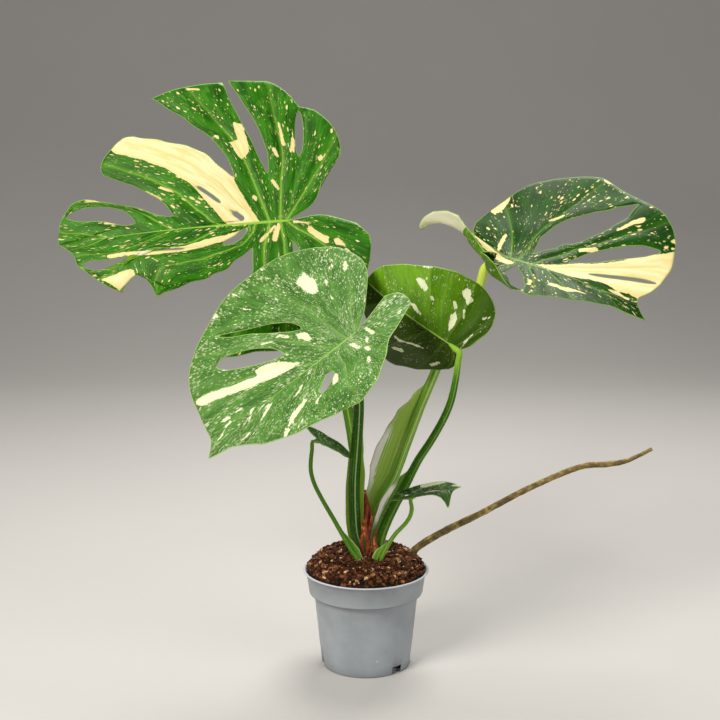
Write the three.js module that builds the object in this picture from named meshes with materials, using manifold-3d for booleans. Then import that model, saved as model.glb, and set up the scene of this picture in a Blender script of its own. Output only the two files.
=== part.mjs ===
// Potted variegated monstera: a nursery pot of potting mix with six leaves, a short stem and
// one aerial root. Millimetres, +Z up. The origin is the centre of the pot's base.
// The plant's front is towards -Y.
import * as THREE from 'three';
import Module from 'manifold-3d';
import { mergeVertices } from 'three/addons/utils/BufferGeometryUtils.js';

const wasm = await Module();
wasm.setup();

// Driving dimensions
const CLEARANCE = 0.3;

const POT = {
  baseRadius: 42.6,
  stepRadius: 49.7,
  bandRadius: 54.4,
  bandTopRadius: 57.2,
  lipRadius: 60,
  mouthRadius: 58,
  height: 93.4,
  stepHeight: 71.2,
  lipThickness: 1.5,
  wall: 1.3,
  floor: 2.2,
  segments: 40,
  notchWidth: 12,
  notchHeight: 7.6,
  notchDepth: 6,
  notchAngles: [-47, 73, 193],
};

const MIX = {
  edgeHeight: 92.6,
  crestHeight: 112,
  crumb: 1.7,
  rings: 9,
};

// Blades: a blade is drawn flat first. x runs along the midrib from the petiole to the tip, y > 0
// is the left half and z is the upper face. Each half is split into fingers by gap lines, which
// start at the roots on the midrib. A gap line lists the points that it passes after its root,
// and openings [from, to, widths] as fractions of its length. A margin lists the points that the
// edge of a finger passes between two gap lines. Then the flat blade is curled by bends
// [x, y, towards, turn, over, half], is turned by heading, pitch and roll, and moved to its place.
// A bend without a half curls both halves.
const BLADE_THICKNESS = 0.9;
const ROWS = [0, 0.04, 0.12, 0.22, 0.33, 0.45, 0.57, 0.69, 0.8, 0.9, 0.96, 1];
const MARGIN_STEP = 24;

const BLADES = {
  blade_1: {
    at: [-74, 50, 422],
    aim: [186, -4, -62],
    bends: [
      [0, 0, 90, 6, 30], [0, 26, 90, -34, 40], [0, 0, -90, 6, 30], [60, 0, 0, -12, 160],
      [0, 0, 180, 8, 60],
    ],
    keel: 2.6,
    roots: [0, 4, 12, 24, 38, 92, 128, 221],
    left: {
      lines: [
        [[-32, -3], [-64, 10]], [[-8, 48], [-18, 108]], [[20, 60], [42, 124]], [[56, 55], [115, 90]],
        [[48, 13], [64, 20], [96, 21], [121, 19.5], [138, 19], [150, 22], [146, 42], [147, 58]],
        [[126, 12], [152, 20], [164, 28], [203, 25]], [[172, 12], [213, 6]],
      ],
      openings: {
        1: [[0.22, 1, [6, 10, 13, 14]]],
        3: [[0.22, 1, [8, 21, 35, 49, 60]]],
        4: [[0.04, 0.22, [6]], [0.45, 0.69, [2.5]], [0.9, 1, [12, 30]]],
        5: [[0.57, 0.96, [7, 11, 10, 8]]],
      },
      margins: [
        [[-76, 28], [-70, 56], [-48, 86]], [[10, 124]], [[66, 127], [98, 122]], [],
        [[174, 50], [188, 39]], [[207, 13]], [],
      ],
    },
    right: {
      lines: [
        [[-26, -17], [-38, -44]], [[-15, -62], [-21, -117]], [[20, -74], [49, -149]],
        [[66, -77], [100, -102], [131, -119]], [[94, -49], [165, -88]], [[136, -33], [178, -52]],
        [[172, -24], [216, -27]],
      ],
      openings: {
        1: [[0.57, 0.96, [6, 8, 6]]],
        2: [[0.33, 1, [6, 10, 12, 10, 6]]],
        3: [[0.33, 1, [8, 13, 20, 31, 42]]],
        4: [[0.04, 0.12, [5]], [0.22, 0.4, [3]]],
        5: [[0.22, 1, [10, 16, 22, 26]]],
        6: [[0.22, 0.96, [12, 15, 14, 9]]],
      },
      margins: [
        [[-57, -62], [-54, -90], [-36, -112]], [[-12, -131], [6, -146], [28, -149]],
        [[75, -147], [100, -144]], [[152, -99]], [[173, -79], [175, -71]], [[193, -42], [204, -40]],
        [[221, -13]],
      ],
    },
  },
  blade_2: {
    at: [-8, -60, 329],
    aim: [-151.5, -32, -24.5],
    bends: [[0, 0, 90, 20, 40], [0, 0, -90, 12, 40], [90, 0, 0, -22, 110], [0, 0, 180, -10, 60]],
    keel: 2.6,
    roots: [0, 6, 16, 34, 60, 172],
    left: {
      lines: [
        [[-24, -8], [-46, -16]], [[-10, 12], [-26, 26]], [[24, 42], [34, 78]],
        [[46, 20], [57, 29], [67, 38], [84, 80]], [[105, 20], [134, 38]],
      ],
      openings: { 3: [[0.24, 0.54, [8]]] },
      margins: [
        [[-58, -10], [-57, 6], [-44, 16]], [[-8, 37], [10, 57]], [[50, 86], [67, 89]],
        [[102, 70], [124, 51]], [[140, 27], [152, 11], [161, 7]],
      ],
    },
    right: {
      lines: [
        [[-20, -14], [-42, -36]], [[-14, -56], [-37, -105]],
        [[33, -43], [60, -67], [84, -83], [100, -98]], [[66, -36], [96, -56], [133, -74]],
        [[105, -24], [149, -42]],
      ],
      openings: { 2: [[0.33, 0.9, [11, 10, 5, 4]]], 3: [[0.33, 0.8, [12, 18, 14]]] },
      margins: [
        [[-55, -52], [-60, -70], [-52, -92]], [[-12, -117], [18, -121], [58, -117]], [[118, -87]],
        [[142, -60]], [[156, -22], [160, -10]],
      ],
    },
  },
  blade_3: {
    at: [85, -20, 307],
    aim: [164, 32, 86],
    bends: [[0, 0, 90, 26, 30], [0, 0, -90, 40, 30], [40, 0, 0, 30, 80]],
    keel: 2.4,
    roots: [0, 7, 22, 46, 114],
    left: {
      lines: [[[-6, 7], [-10, 17]], [[0, 30], [0, 55]], [[32, 34], [44, 59]], [[66, 19], [92, 36]]],
      openings: {},
      margins: [
        [[-13, 30], [-9, 46]], [[12, 60], [27, 61]], [[61, 53], [76, 45]], [[104, 26], [112, 14]],
      ],
    },
    right: {
      lines: [
        [[-4, -6], [-5, -13]], [[4, -20], [8, -36]], [[37, -38], [50, -72]], [[72, -26], [96, -50]],
      ],
      openings: {},
      margins: [[[-3, -20], [2, -28]], [[17, -47], [30, -60]], [[66, -76], [84, -66]], [[108, -26]]],
    },
  },
  blade_4: {
    at: [134, 30, 388],
    aim: [-46, -11, 27],
    bends: [
      [-2, -30, 243, 57, 17, 'right'], [0, 0, 90, 12, 30], [0, 0, -90, 25, 40],
      [-18, 38, 204, 26, 6, 'right'], [-56, 36, 193, -118, 53, 'right'], [60, 0, 0, -25, 90],
    ],
    keel: 2.4,
    roots: [0, 6, 16, 40, 56, 156],
    left: {
      lines: [
        [[-30, 8], [-58, 16]], [[-10, 64], [-28, 114]], [[27, 44], [43, 63], [62, 86], [76, 113]],
        [[70, 28], [88, 43], [106, 58], [131, 76]], [[95, 17], [142, 40]],
      ],
      openings: {
        2: [[0.12, 0.96, [12, 26, 38, 34, 22, 8]]],
        3: [[0.22, 0.9, [8, 14, 15, 10]]],
        4: [[0.33, 0.96, [3.5, 4, 4]]],
      },
      margins: [
        [[-66, 28], [-66, 42], [-63, 58], [-57, 77], [-46, 99]], [[-4, 124], [18, 129], [48, 120]],
        [[98, 108], [110, 101], [123, 90]], [[139, 60]], [[141, 27], [137, 14], [145, 5]],
      ],
    },
    right: {
      lines: [
        [[-28, -2], [-54, -3]], [[-20, -22], [-46, -39]], [[24, -20], [34, -29], [50, -46], [67, -62]],
        [[66, -26], [84, -48]], [[92, -8], [116, -16]],
      ],
      openings: { 2: [[0.12, 0.95, [11, 15, 13, 13, 11]]] },
      margins: [
        [[-68, -8], [-91, -6], [-76, -22], [-58, -34]],
        [[-35, -44], [-5, -54], [13, -80], [40, -90], [57, -84]], [[74, -66]], [[100, -31]],
        [[130, -9], [144, -6]],
      ],
    },
  },
  blade_5: {
    at: [-46, -26, 226],
    aim: [15, -29, 15],
    bends: [[0, 0, 90, 20, 16], [0, 0, -90, 20, 16], [14, 0, 0, -8, 24]],
    keel: 1.2,
    roots: [0, 9, 38],
    left: {
      lines: [[[-5, 4], [-9, 9]], [[12, 8], [15, 13]]],
      openings: {},
      margins: [[[-11, 12], [0, 15]], [[29, 12], [37, 7]]],
    },
    right: {
      lines: [[[-2, -5], [-4, -10]], [[12, -8], [15, -14]]],
      openings: {},
      margins: [[[-3, -13], [4, -16]], [[29, -12], [37, -7]]],
    },
  },
  blade_6: {
    at: [41, -36, 175],
    aim: [-8, 15, 3],
    bends: [[0, 0, 90, 14, 14], [0, 0, -90, 6, 14], [27, -10, -60, -66, 12], [22, 0, 0, -14, 26]],
    keel: 1.2,
    roots: [0, 10, 47],
    left: {
      lines: [[[-7, 4], [-13, 8]], [[14, 11], [18, 16]]],
      openings: {},
      margins: [[[-17, 10], [-2, 15]], [[34, 12]]],
    },
    right: {
      lines: [[[-8, -2], [-16, -3]], [[14, -10], [22, -17]]],
      openings: {},
      margins: [[[-21, -5], [-8, -11]], [[31, -21], [37, -27], [39, -12]]],
    },
  },
};

// Petioles, from the mix up to the blade that they carry. A fin is one side of the leaf sheath:
// [width at the foot, ..., width at the top] between two fractions of the length.
const PETIOLES = {
  petiole_1: {
    blade: 'blade_1',
    points: [
      [-9, 8, 82], [-9, 8, 110], [-8, 9, 140], [-9, 10, 180], [-12, 12, 206], [-15, 15, 226],
      [-19, 18, 248], [-29, 28, 310], [-46, 42, 368],
    ],
    radii: [4.8, 4.4, 4.2, 4],
    fins: { right: [0.12, 0.5, [2, 3, 3, 2]] },
    stations: 20,
  },
  petiole_2: {
    blade: 'blade_2',
    points: [
      [-2, -13, 82], [-2, -13, 110], [-9, -14, 132], [-11, -16, 159], [-11, -20, 187],
      [-9, -26, 217], [-7, -36, 256], [-8, -48, 298],
    ],
    radii: [5, 5, 4.7, 4],
    fins: { left: [0.06, 0.62, [3, 3.5, 3, 2, 1]], right: [0.06, 0.58, [2, 3, 4, 5, 2]] },
    stations: 18,
  },
  petiole_3: {
    blade: 'blade_4',
    points: [
      [9, -4, 82], [9, -4, 110], [9, -3, 142], [17, 3, 166], [26, 7, 180], [32, 11, 194],
      [39, 17, 212], [52, 28, 244], [64, 38, 270], [75, 43, 294], [93, 46, 326], [109, 42, 360],
      [115, 38, 379],
    ],
    radii: [4.9, 4.8, 4.4, 4],
    fins: { left: [0.12, 0.55, [4, 12, 21, 22, 19, 15, 7]] },
    stations: 28,
  },
  petiole_4: {
    blade: 'blade_3',
    points: [
      [13, -14, 82], [13, -14, 112], [14, -14, 126], [19, -14, 141], [27, -15, 159],
      [35, -16, 175], [48, -17, 202], [61, -18, 223], [72, -20, 244], [78, -21, 260],
      [82, -22, 280], [84, -22, 295],
    ],
    radii: [4.6, 4.2, 3.4, 2.6],
    fins: { left: [0.06, 0.46, [6, 5.5, 7, 8.5, 10, 8.5, 5.5]] },
    stations: 24,
  },
  petiole_5: {
    blade: 'blade_5',
    points: [
      [-8, -28, 84], [-8, -28, 110], [-13, -28, 118], [-30, -28, 149], [-41, -29, 169],
      [-48, -30, 184], [-51, -31, 196], [-51, -31, 206], [-50, -29, 215],
    ],
    radii: [2.4, 2, 1.8, 1.6],
    fins: { right: [0.12, 0.36, [3, 5, 4, 2]] },
    stations: 18,
  },
  petiole_6: {
    blade: 'blade_6',
    points: [
      [14, -27, 84], [14, -27, 110], [19, -28, 122], [27, -31, 136], [37, -34, 148], [41, -36, 156],
      [42, -36, 163],
    ],
    radii: [2.4, 2, 1.8, 1.6],
    fins: { left: [0.15, 0.42, [5, 7, 6, 3]] },
    stations: 15,
  },
};

const STEM = { at: [1, 2], radius: 5.5, foot: 62, top: 117, ringStep: 9, ringRise: 0.7 };

const CATAPHYLL = {
  points: [[1, -9, 92], [2, -9, 122], [1, -8, 146], [-1, -7, 172]],
  radii: [5, 6.5, 5, 1],
  flatness: 0.14,
  stations: 9,
};

const AERIAL_ROOT = {
  points: [
    [36, 2, 88], [41, 2, 101], [47, 4, 110], [54, 6, 115], [75, 11, 126], [113, 18, 143],
    [154, 22, 164], [196, 26, 182], [213, 27, 187], [231, 28, 188], [248, 29, 190], [262, 30, 195],
    [277, 30, 203],
  ],
  radii: [3.6, 3.4, 3, 2.8, 2.8, 1.8],
  stations: 34,
};

const COLOURS = {
  pot: 0x8d97a0,
  mix: 0x2c1b12,
  stem: 0x6b5a38,
  petiole: 0x5c9a2e,
  blade: 0x2f6b24,
  papery: 0x7a4022,
  root: 0x8f7a3c,
};

// Materials
function material(colour, roughness) {
  return new THREE.MeshStandardMaterial({ color: colour, roughness, metalness: 0, side: THREE.DoubleSide });
}

// Solids
function solidOf(geometry, matrix) {
  const plain = geometry.clone();
  plain.deleteAttribute('normal');
  plain.deleteAttribute('uv');
  if (matrix) plain.applyMatrix4(matrix);
  const merged = mergeVertices(plain, 1e-4);
  const triVerts = Uint32Array.from(merged.index.array);
  const vertProperties = merged.attributes.position.array;
  return new wasm.Manifold(new wasm.Mesh({ numProp: 3, vertProperties, triVerts }));
}

function geometryOf(solid) {
  const mesh = solid.getMesh();
  const geometry = new THREE.BufferGeometry();
  geometry.setAttribute('position', new THREE.BufferAttribute(mesh.vertProperties, mesh.numProp));
  geometry.setIndex(new THREE.BufferAttribute(mesh.triVerts, 1));
  return geometry;
}

function largestPiece(solid) {
  return solid.decompose().reduce((best, piece) => (piece.volume() > best.volume() ? piece : best));
}

function meshOf(name, geometry, look) {
  geometry.computeVertexNormals();
  const mesh = new THREE.Mesh(geometry, look);
  mesh.name = name;
  return mesh;
}

// Curves and profiles
const radians = THREE.MathUtils.degToRad;

function profileAt(values, t) {
  if (values.length === 1) return values[0];
  const place = THREE.MathUtils.clamp(t, 0, 1) * (values.length - 1);
  const step = Math.min(Math.floor(place), values.length - 2);
  const blend = (1 - Math.cos(Math.PI * (place - step))) / 2;
  return values[step] + (values[step + 1] - values[step]) * blend;
}

// A smooth plane curve through all the points, spaced by their distances
function splineAt(points, t) {
  const places = [0];
  for (let i = 1; i < points.length; i += 1) {
    const [[fromX, fromY], [toX, toY]] = [points[i - 1], points[i]];
    places.push(places[i - 1] + Math.hypot(toX - fromX, toY - fromY));
  }
  const total = places[places.length - 1];
  if (total < 1e-6) return points[0];
  const place = THREE.MathUtils.clamp(t, 0, 1) * total;
  let step = 0;
  while (step < points.length - 2 && places[step + 1] < place) step += 1;
  const slope = (i, axis) => {
    const before = Math.max(i - 1, 0);
    const after = Math.min(i + 1, points.length - 1);
    return (points[after][axis] - points[before][axis]) / (places[after] - places[before]);
  };
  const span = places[step + 1] - places[step];
  const u = (place - places[step]) / span;
  return [0, 1].map((axis) => (2 * u ** 3 - 3 * u ** 2 + 1) * points[step][axis]
    + (u ** 3 - 2 * u ** 2 + u) * span * slope(step, axis)
    + (3 * u ** 2 - 2 * u ** 3) * points[step + 1][axis]
    + (u ** 3 - u ** 2) * span * slope(step + 1, axis));
}

// Blades
function openingWidth(openings, t) {
  for (const [from, to, widths] of openings) {
    if (t > from && (t < to || to === 1)) {
      const place = (t - from) / (to - from);
      const round = Math.min(1, Math.sqrt(place * 6), to === 1 ? 1 : Math.sqrt((1 - place) * 6));
      return profileAt(widths, place) * round;
    }
  }
  return 0;
}

// The edge of a finger along a gap line, on the tip's side (+1) or the petiole's side (-1)
function gapEdge(line, openings, turn, t) {
  const [x, y] = splineAt(line, t);
  const width = openingWidth(openings, t);
  if (width === 0) return [x, y];
  const ahead = splineAt(line, Math.min(t + 0.02, 1));
  const behind = splineAt(line, Math.max(t - 0.02, 0));
  const length = Math.hypot(ahead[0] - behind[0], ahead[1] - behind[1]);
  const shift = turn * width / (2 * length);
  return [x + shift * (ahead[1] - behind[1]), y - shift * (ahead[0] - behind[0])];
}

// Flat points and triangles of a whole blade
function flatBlade(plan) {
  const points = [];
  const triangles = [];
  const known = new Map();
  const pointIndex = ([x, y], half, onMidrib) => {
    const key = `${Math.round(x * 50)},${Math.round(y * 50)}`;
    if (!known.has(key)) {
      known.set(key, points.length);
      points.push({ x, y, half, onMidrib });
    }
    return known.get(key);
  };
  const tip = [plan.roots[plan.roots.length - 1], 0];
  const marginOf = (turn, side, finger) => {
    const lines = side.lines.map((line, i) => [[plan.roots[i], 0], ...line]);
    lines.push([tip, tip]);
    const edge = (i, t, toTip) => gapEdge(lines[i], side.openings[i] ?? [], toTip * turn, t);
    const start = edge(finger, 1, 1);
    const end = finger + 1 < side.lines.length ? edge(finger + 1, 1, -1) : tip;
    return { lines, edge, margin: [start, ...side.margins[finger], end] };
  };
  const lengthOf = (outline) => outline.slice(1).reduce((sum, [x, y], i) => (
    sum + Math.hypot(x - outline[i][0], y - outline[i][1])), 0);
  for (let finger = 0; finger < plan.roots.length - 1; finger += 1) {
    const halves = [['left', 1], ['right', -1]].map(([half, turn]) => (
      { half, ...marginOf(turn, plan[half], finger) }));
    const longest = Math.max(...halves.map(({ margin }) => lengthOf(margin)));
    const columns = THREE.MathUtils.clamp(Math.round(longest / MARGIN_STEP), 2, 5);
    for (const { half, edge, lines, margin } of halves) {
      const last = finger + 1 === lines.length - 1;
      const corner = [margin[0], margin[margin.length - 1]];
      const grid = ROWS.map((t) => {
        const near = edge(finger, t, 1);
        const far = last ? tip : edge(finger + 1, t, -1);
        const bulge = t ** 2.5;
        return Array.from({ length: columns + 1 }, (_, column) => {
          const a = column / columns;
          const outer = splineAt(margin, a);
          return pointIndex([0, 1].map((axis) => (1 - a) * near[axis] + a * far[axis]
            + bulge * (outer[axis] - (1 - a) * corner[0][axis] - a * corner[1][axis])), half, t === 0);
        });
      });
      for (let row = 0; row < ROWS.length - 1; row += 1) {
        for (let column = 0; column < columns; column += 1) {
          const near = grid[row];
          const next = grid[row + 1];
          const quad = [near[column], near[column + 1], next[column + 1], next[column]];
          if (half === 'right') quad.reverse();
          for (const tri of [[quad[0], quad[1], quad[2]], [quad[0], quad[2], quad[3]]]) {
            if (new Set(tri).size === 3) triangles.push(tri);
          }
        }
      }
    }
  }
  return { points, triangles };
}

function bendPoint([x, y, z], [atX, atY, towards, turn, over]) {
  const dx = Math.cos(radians(towards));
  const dy = Math.sin(radians(towards));
  const along = (x - atX) * dx + (y - atY) * dy;
  if (along <= 0) return [x, y, z];
  const angle = radians(turn);
  const radius = over / angle;
  const arc = Math.min(along, over) / radius;
  const beyond = Math.max(along - over, 0);
  const moved = (radius - z) * Math.sin(arc) + beyond * Math.cos(angle);
  const risen = radius - (radius - z) * Math.cos(arc) + beyond * Math.sin(angle);
  return [x + (moved - along) * dx, y + (moved - along) * dy, risen];
}

function curled(plan, { x, y, half }, z) {
  const acting = plan.bends.filter(([, , , , , only]) => !only || only === half);
  return acting.reduce(bendPoint, [x, y, z]);
}

function bladeGeometry(plan, thickness) {
  const { points, triangles } = flatBlade(plan);
  const length = plan.roots[plan.roots.length - 1];
  const positions = [];
  for (const side of [1, -1]) {
    for (const point of points) {
      const taper = THREE.MathUtils.clamp(1 - point.x / length, 0, 1) * Math.min(point.x / 12, 1);
      const keel = side < 0 && point.onMidrib ? plan.keel * taper : 0;
      positions.push(...curled(plan, point, side * thickness / 2 - keel));
    }
  }
  const count = points.length;
  const faces = [];
  const edges = new Set(triangles.flatMap(([a, b, c]) => [`${a},${b}`, `${b},${c}`, `${c},${a}`]));
  for (const [a, b, c] of triangles) {
    faces.push(a, b, c, count + a, count + c, count + b);
    for (const [from, to] of [[a, b], [b, c], [c, a]]) {
      if (!edges.has(`${to},${from}`)) faces.push(from, count + from, count + to, from, count + to, to);
    }
  }
  const geometry = new THREE.BufferGeometry();
  geometry.setAttribute('position', new THREE.Float32BufferAttribute(positions, 3));
  geometry.setIndex(faces);
  return geometry;
}

function bladeMatrix(plan) {
  const [heading, pitch, roll] = plan.aim.map(radians);
  const turn = new THREE.Matrix4().makeRotationFromEuler(new THREE.Euler(roll, -pitch, heading, 'ZYX'));
  return turn.setPosition(...plan.at);
}

function bladeMesh(name, look) {
  const plan = BLADES[name];
  const mesh = meshOf(name, bladeGeometry(plan, BLADE_THICKNESS), look);
  const [heading, pitch, roll] = plan.aim.map(radians);
  mesh.position.set(...plan.at);
  mesh.rotation.set(roll, -pitch, heading, 'ZYX');
  return mesh;
}

// A stalk: rings of points along a smooth curve, with fins on its left and right, closed at both ends
function stalkGeometry({ points, radii, stations, fins = {}, flatness = 1 }, grow) {
  const sides = 8;
  const finThickness = 1.2;
  const stops = points.map((p) => new THREE.Vector3(...p));
  const curve = new THREE.CatmullRomCurve3(stops, false, 'centripetal');
  const front = new THREE.Vector3(0, -1, 0);
  const positions = [];
  const noFin = 0.5;
  const finWidth = ([from, to, widths], t) => {
    if (t <= from || t >= to) return noFin;
    return profileAt([noFin, ...widths, noFin], (t - from) / (to - from));
  };
  let ringSize = 0;
  for (let station = 0; station <= stations; station += 1) {
    const t = station / stations;
    const centre = curve.getPointAt(t);
    const along = curve.getTangentAt(t);
    const across = front.clone().cross(along).normalize();
    const ahead = along.clone().cross(across);
    const radius = profileAt(radii, t) + grow;
    const ring = [];
    for (let k = 0; k < sides; k += 1) {
      const angle = (2 * Math.PI * k) / sides;
      const fin = k === 0 ? fins.left : k === sides / 2 ? fins.right : null;
      if (fin) {
        const turn = k === 0 ? 1 : -1;
        const reach = turn * (radius + finWidth(fin, t));
        const root = turn * radius * 0.9;
        const half = turn * (finThickness / 2 + grow);
        ring.push([root, -half], [reach, -half], [reach, half], [root, half]);
      } else {
        ring.push([radius * Math.cos(angle), radius * flatness * Math.sin(angle)]);
      }
    }
    ringSize = ring.length;
    for (const [u, v] of ring) {
      positions.push(...centre.clone().addScaledVector(across, u).addScaledVector(ahead, v).toArray());
    }
  }
  for (const end of [0, 1]) positions.push(...curve.getPointAt(end).toArray());
  const faces = [];
  for (let station = 0; station < stations; station += 1) {
    for (let k = 0; k < ringSize; k += 1) {
      const a = station * ringSize + k;
      const b = station * ringSize + ((k + 1) % ringSize);
      faces.push(a, b, b + ringSize, a, b + ringSize, a + ringSize);
    }
  }
  const foot = (stations + 1) * ringSize;
  for (let k = 0; k < ringSize; k += 1) {
    const next = (k + 1) % ringSize;
    const top = stations * ringSize;
    faces.push(foot, next, k, foot + 1, top + k, top + next);
  }
  const geometry = new THREE.BufferGeometry();
  geometry.setAttribute('position', new THREE.Float32BufferAttribute(positions, 3));
  geometry.setIndex(faces);
  return geometry;
}

// A petiole runs under its blade's midrib for its last few millimetres
function petiolePlan(name) {
  const plan = PETIOLES[name];
  const blade = BLADES[plan.blade];
  const depth = plan.radii[plan.radii.length - 1] + 1;
  const under = [[-depth * 0.5, -depth * 1.6], [depth * 0.9, -depth]].map(([x, z]) => (
    new THREE.Vector3(x, 0, z).applyMatrix4(bladeMatrix(blade)).toArray()));
  return { ...plan, points: [...plan.points, ...under] };
}

// Pot
function potSolid() {
  const p = POT;
  const lipFoot = p.height - p.lipThickness;
  const outline = [
    [0, 0], [p.baseRadius - 1.4, 0], [p.baseRadius, 1.4], [p.stepRadius, p.stepHeight - 0.8],
    [p.bandRadius - 0.8, p.stepHeight], [p.bandRadius, p.stepHeight + 0.8], [p.bandTopRadius, lipFoot],
    [p.lipRadius - 0.5, lipFoot], [p.lipRadius, lipFoot + 0.5], [p.lipRadius, p.height - 0.4],
    [p.lipRadius - 0.4, p.height], [p.mouthRadius + 0.3, p.height], [p.mouthRadius, p.height - 0.3],
    [p.bandTopRadius - p.wall, lipFoot - 0.8], [p.bandRadius - p.wall, p.stepHeight + p.wall + 0.8],
    [p.stepRadius - p.wall, p.stepHeight + 0.6], [p.baseRadius - p.wall + 0.2, p.floor + 1],
    [p.baseRadius - p.wall - 0.8, p.floor], [0, p.floor],
  ];
  const shell = new THREE.LatheGeometry(outline.map(([r, z]) => new THREE.Vector2(r, z)), p.segments);
  shell.rotateX(Math.PI / 2);
  let solid = solidOf(shell);
  const notch = new THREE.BoxGeometry(p.notchDepth * 2, p.notchWidth, p.notchHeight * 2);
  notch.translate(p.baseRadius, 0, 0);
  for (const angle of p.notchAngles) {
    solid = solid.subtract(solidOf(notch, new THREE.Matrix4().makeRotationZ(radians(angle))));
  }
  return solid;
}

// Potting mix: a plug with a crumbly dome, with a plain hole for each stalk that stands in it
function crumb(x, y) {
  const broad = Math.sin(0.31 * x + 1.3) * Math.sin(0.37 * y);
  const fine = Math.sin(0.83 * x - 0.4 * y) * Math.cos(0.71 * y + 0.5);
  return broad + 0.6 * fine;
}

function mixSolid(stalks) {
  const p = POT;
  const gap = 2 * CLEARANCE;
  const bottom = p.floor + CLEARANCE;
  const lipFoot = p.height - p.lipThickness;
  const inStep = p.stepRadius - p.wall - gap;
  const overStep = p.stepHeight + p.wall;
  const edge = p.mouthRadius - 2 * gap;
  const wall = [
    [p.baseRadius - p.wall - 2.2, bottom], [p.baseRadius - p.wall - 0.9, bottom + 1.5],
    [inStep, p.stepHeight], [inStep, overStep + 1.4], [p.bandRadius - p.wall - gap, overStep + 3.4],
    [p.bandTopRadius - p.wall - gap, lipFoot - 1.4], [edge, MIX.edgeHeight],
  ];
  const positions = [0, 0, bottom];
  const addRing = (radiusAt, heightAt) => {
    for (let k = 0; k < p.segments; k += 1) {
      const angle = (2 * Math.PI * k) / p.segments;
      const x = radiusAt * Math.cos(angle);
      const y = radiusAt * Math.sin(angle);
      positions.push(x, y, heightAt(x, y));
    }
  };
  for (const [radius, height] of wall) addRing(radius, () => height);
  const domeAt = (x, y) => {
    const out = Math.min(Math.hypot(x, y) / edge, 1);
    const rise = (MIX.crestHeight - MIX.edgeHeight) * (1 - out ** 5);
    return MIX.edgeHeight + rise + MIX.crumb * crumb(x, y) * (1 - out ** 8);
  };
  for (let ring = MIX.rings - 1; ring >= 1; ring -= 1) addRing((edge * ring) / MIX.rings, domeAt);
  positions.push(0, 0, domeAt(0, 0));
  const rings = wall.length + MIX.rings - 1;
  const faces = [];
  const at = (ring, k) => 1 + ring * p.segments + (k % p.segments);
  const crest = 1 + rings * p.segments;
  for (let k = 0; k < p.segments; k += 1) {
    faces.push(0, at(0, k + 1), at(0, k), crest, at(rings - 1, k), at(rings - 1, k + 1));
    for (let ring = 0; ring < rings - 1; ring += 1) {
      faces.push(at(ring, k), at(ring, k + 1), at(ring + 1, k + 1));
      faces.push(at(ring, k), at(ring + 1, k + 1), at(ring + 1, k));
    }
  }
  const geometry = new THREE.BufferGeometry();
  geometry.setAttribute('position', new THREE.Float32BufferAttribute(positions, 3));
  geometry.setIndex(faces);
  return largestPiece(stalks.reduce((solid, stalk) => solid.subtract(stalk), solidOf(geometry)));
}

// Stem: a short ringed cane
function stemGeometry(grow) {
  const { at, radius, foot, top, ringStep, ringRise } = STEM;
  const outline = [[0, foot - grow]];
  for (let z = foot; z < top - 1; z += ringStep / 3) {
    const ridge = Math.abs(((z - foot) % ringStep) - ringStep / 3) < 0.1 ? ringRise : 0;
    outline.push([radius + grow + ridge, z === foot ? z - grow : z]);
  }
  outline.push([radius - 1 + grow, top - 1 + grow], [0, top + grow]);
  const geometry = new THREE.LatheGeometry(outline.map(([r, z]) => new THREE.Vector2(r, z)), 14);
  return geometry.rotateX(Math.PI / 2).translate(at[0], at[1], 0);
}

// Assembly
const plant = new THREE.Group();
const grown = [];
const bladeLook = material(COLOURS.blade, 0.42);
const petioleLook = material(COLOURS.petiole, 0.45);

for (const name of Object.keys(BLADES)) plant.add(bladeMesh(name, bladeLook));

function addStalk(name, geometryFor, look, bladeName) {
  let solid = solidOf(geometryFor(0));
  for (const other of grown) solid = solid.subtract(other);
  if (bladeName) {
    const plan = BLADES[bladeName];
    const room = bladeGeometry({ ...plan, keel: plan.keel + CLEARANCE }, BLADE_THICKNESS + 2 * CLEARANCE);
    solid = solid.subtract(solidOf(room, bladeMatrix(plan)));
  }
  plant.add(meshOf(name, geometryOf(largestPiece(solid)), look));
  grown.push(solidOf(geometryFor(CLEARANCE)));
}

addStalk('stem', stemGeometry, material(COLOURS.stem, 0.7));
for (const name of Object.keys(PETIOLES)) {
  const plan = petiolePlan(name);
  addStalk(name, (grow) => stalkGeometry(plan, grow), petioleLook, plan.blade);
}
addStalk('cataphyll', (grow) => stalkGeometry(CATAPHYLL, grow), material(COLOURS.papery, 0.8));
addStalk('aerial_root', (grow) => stalkGeometry(AERIAL_ROOT, grow), material(COLOURS.root, 0.75));

plant.add(meshOf('potting_mix', geometryOf(mixSolid(grown)), material(COLOURS.mix, 0.95)));
plant.add(meshOf('pot', geometryOf(potSolid()), material(COLOURS.pot, 0.5)));

export default plant;
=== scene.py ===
import math
import random

import bpy
import bmesh
from mathutils import Euler, Matrix, Vector, kdtree, noise


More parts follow.
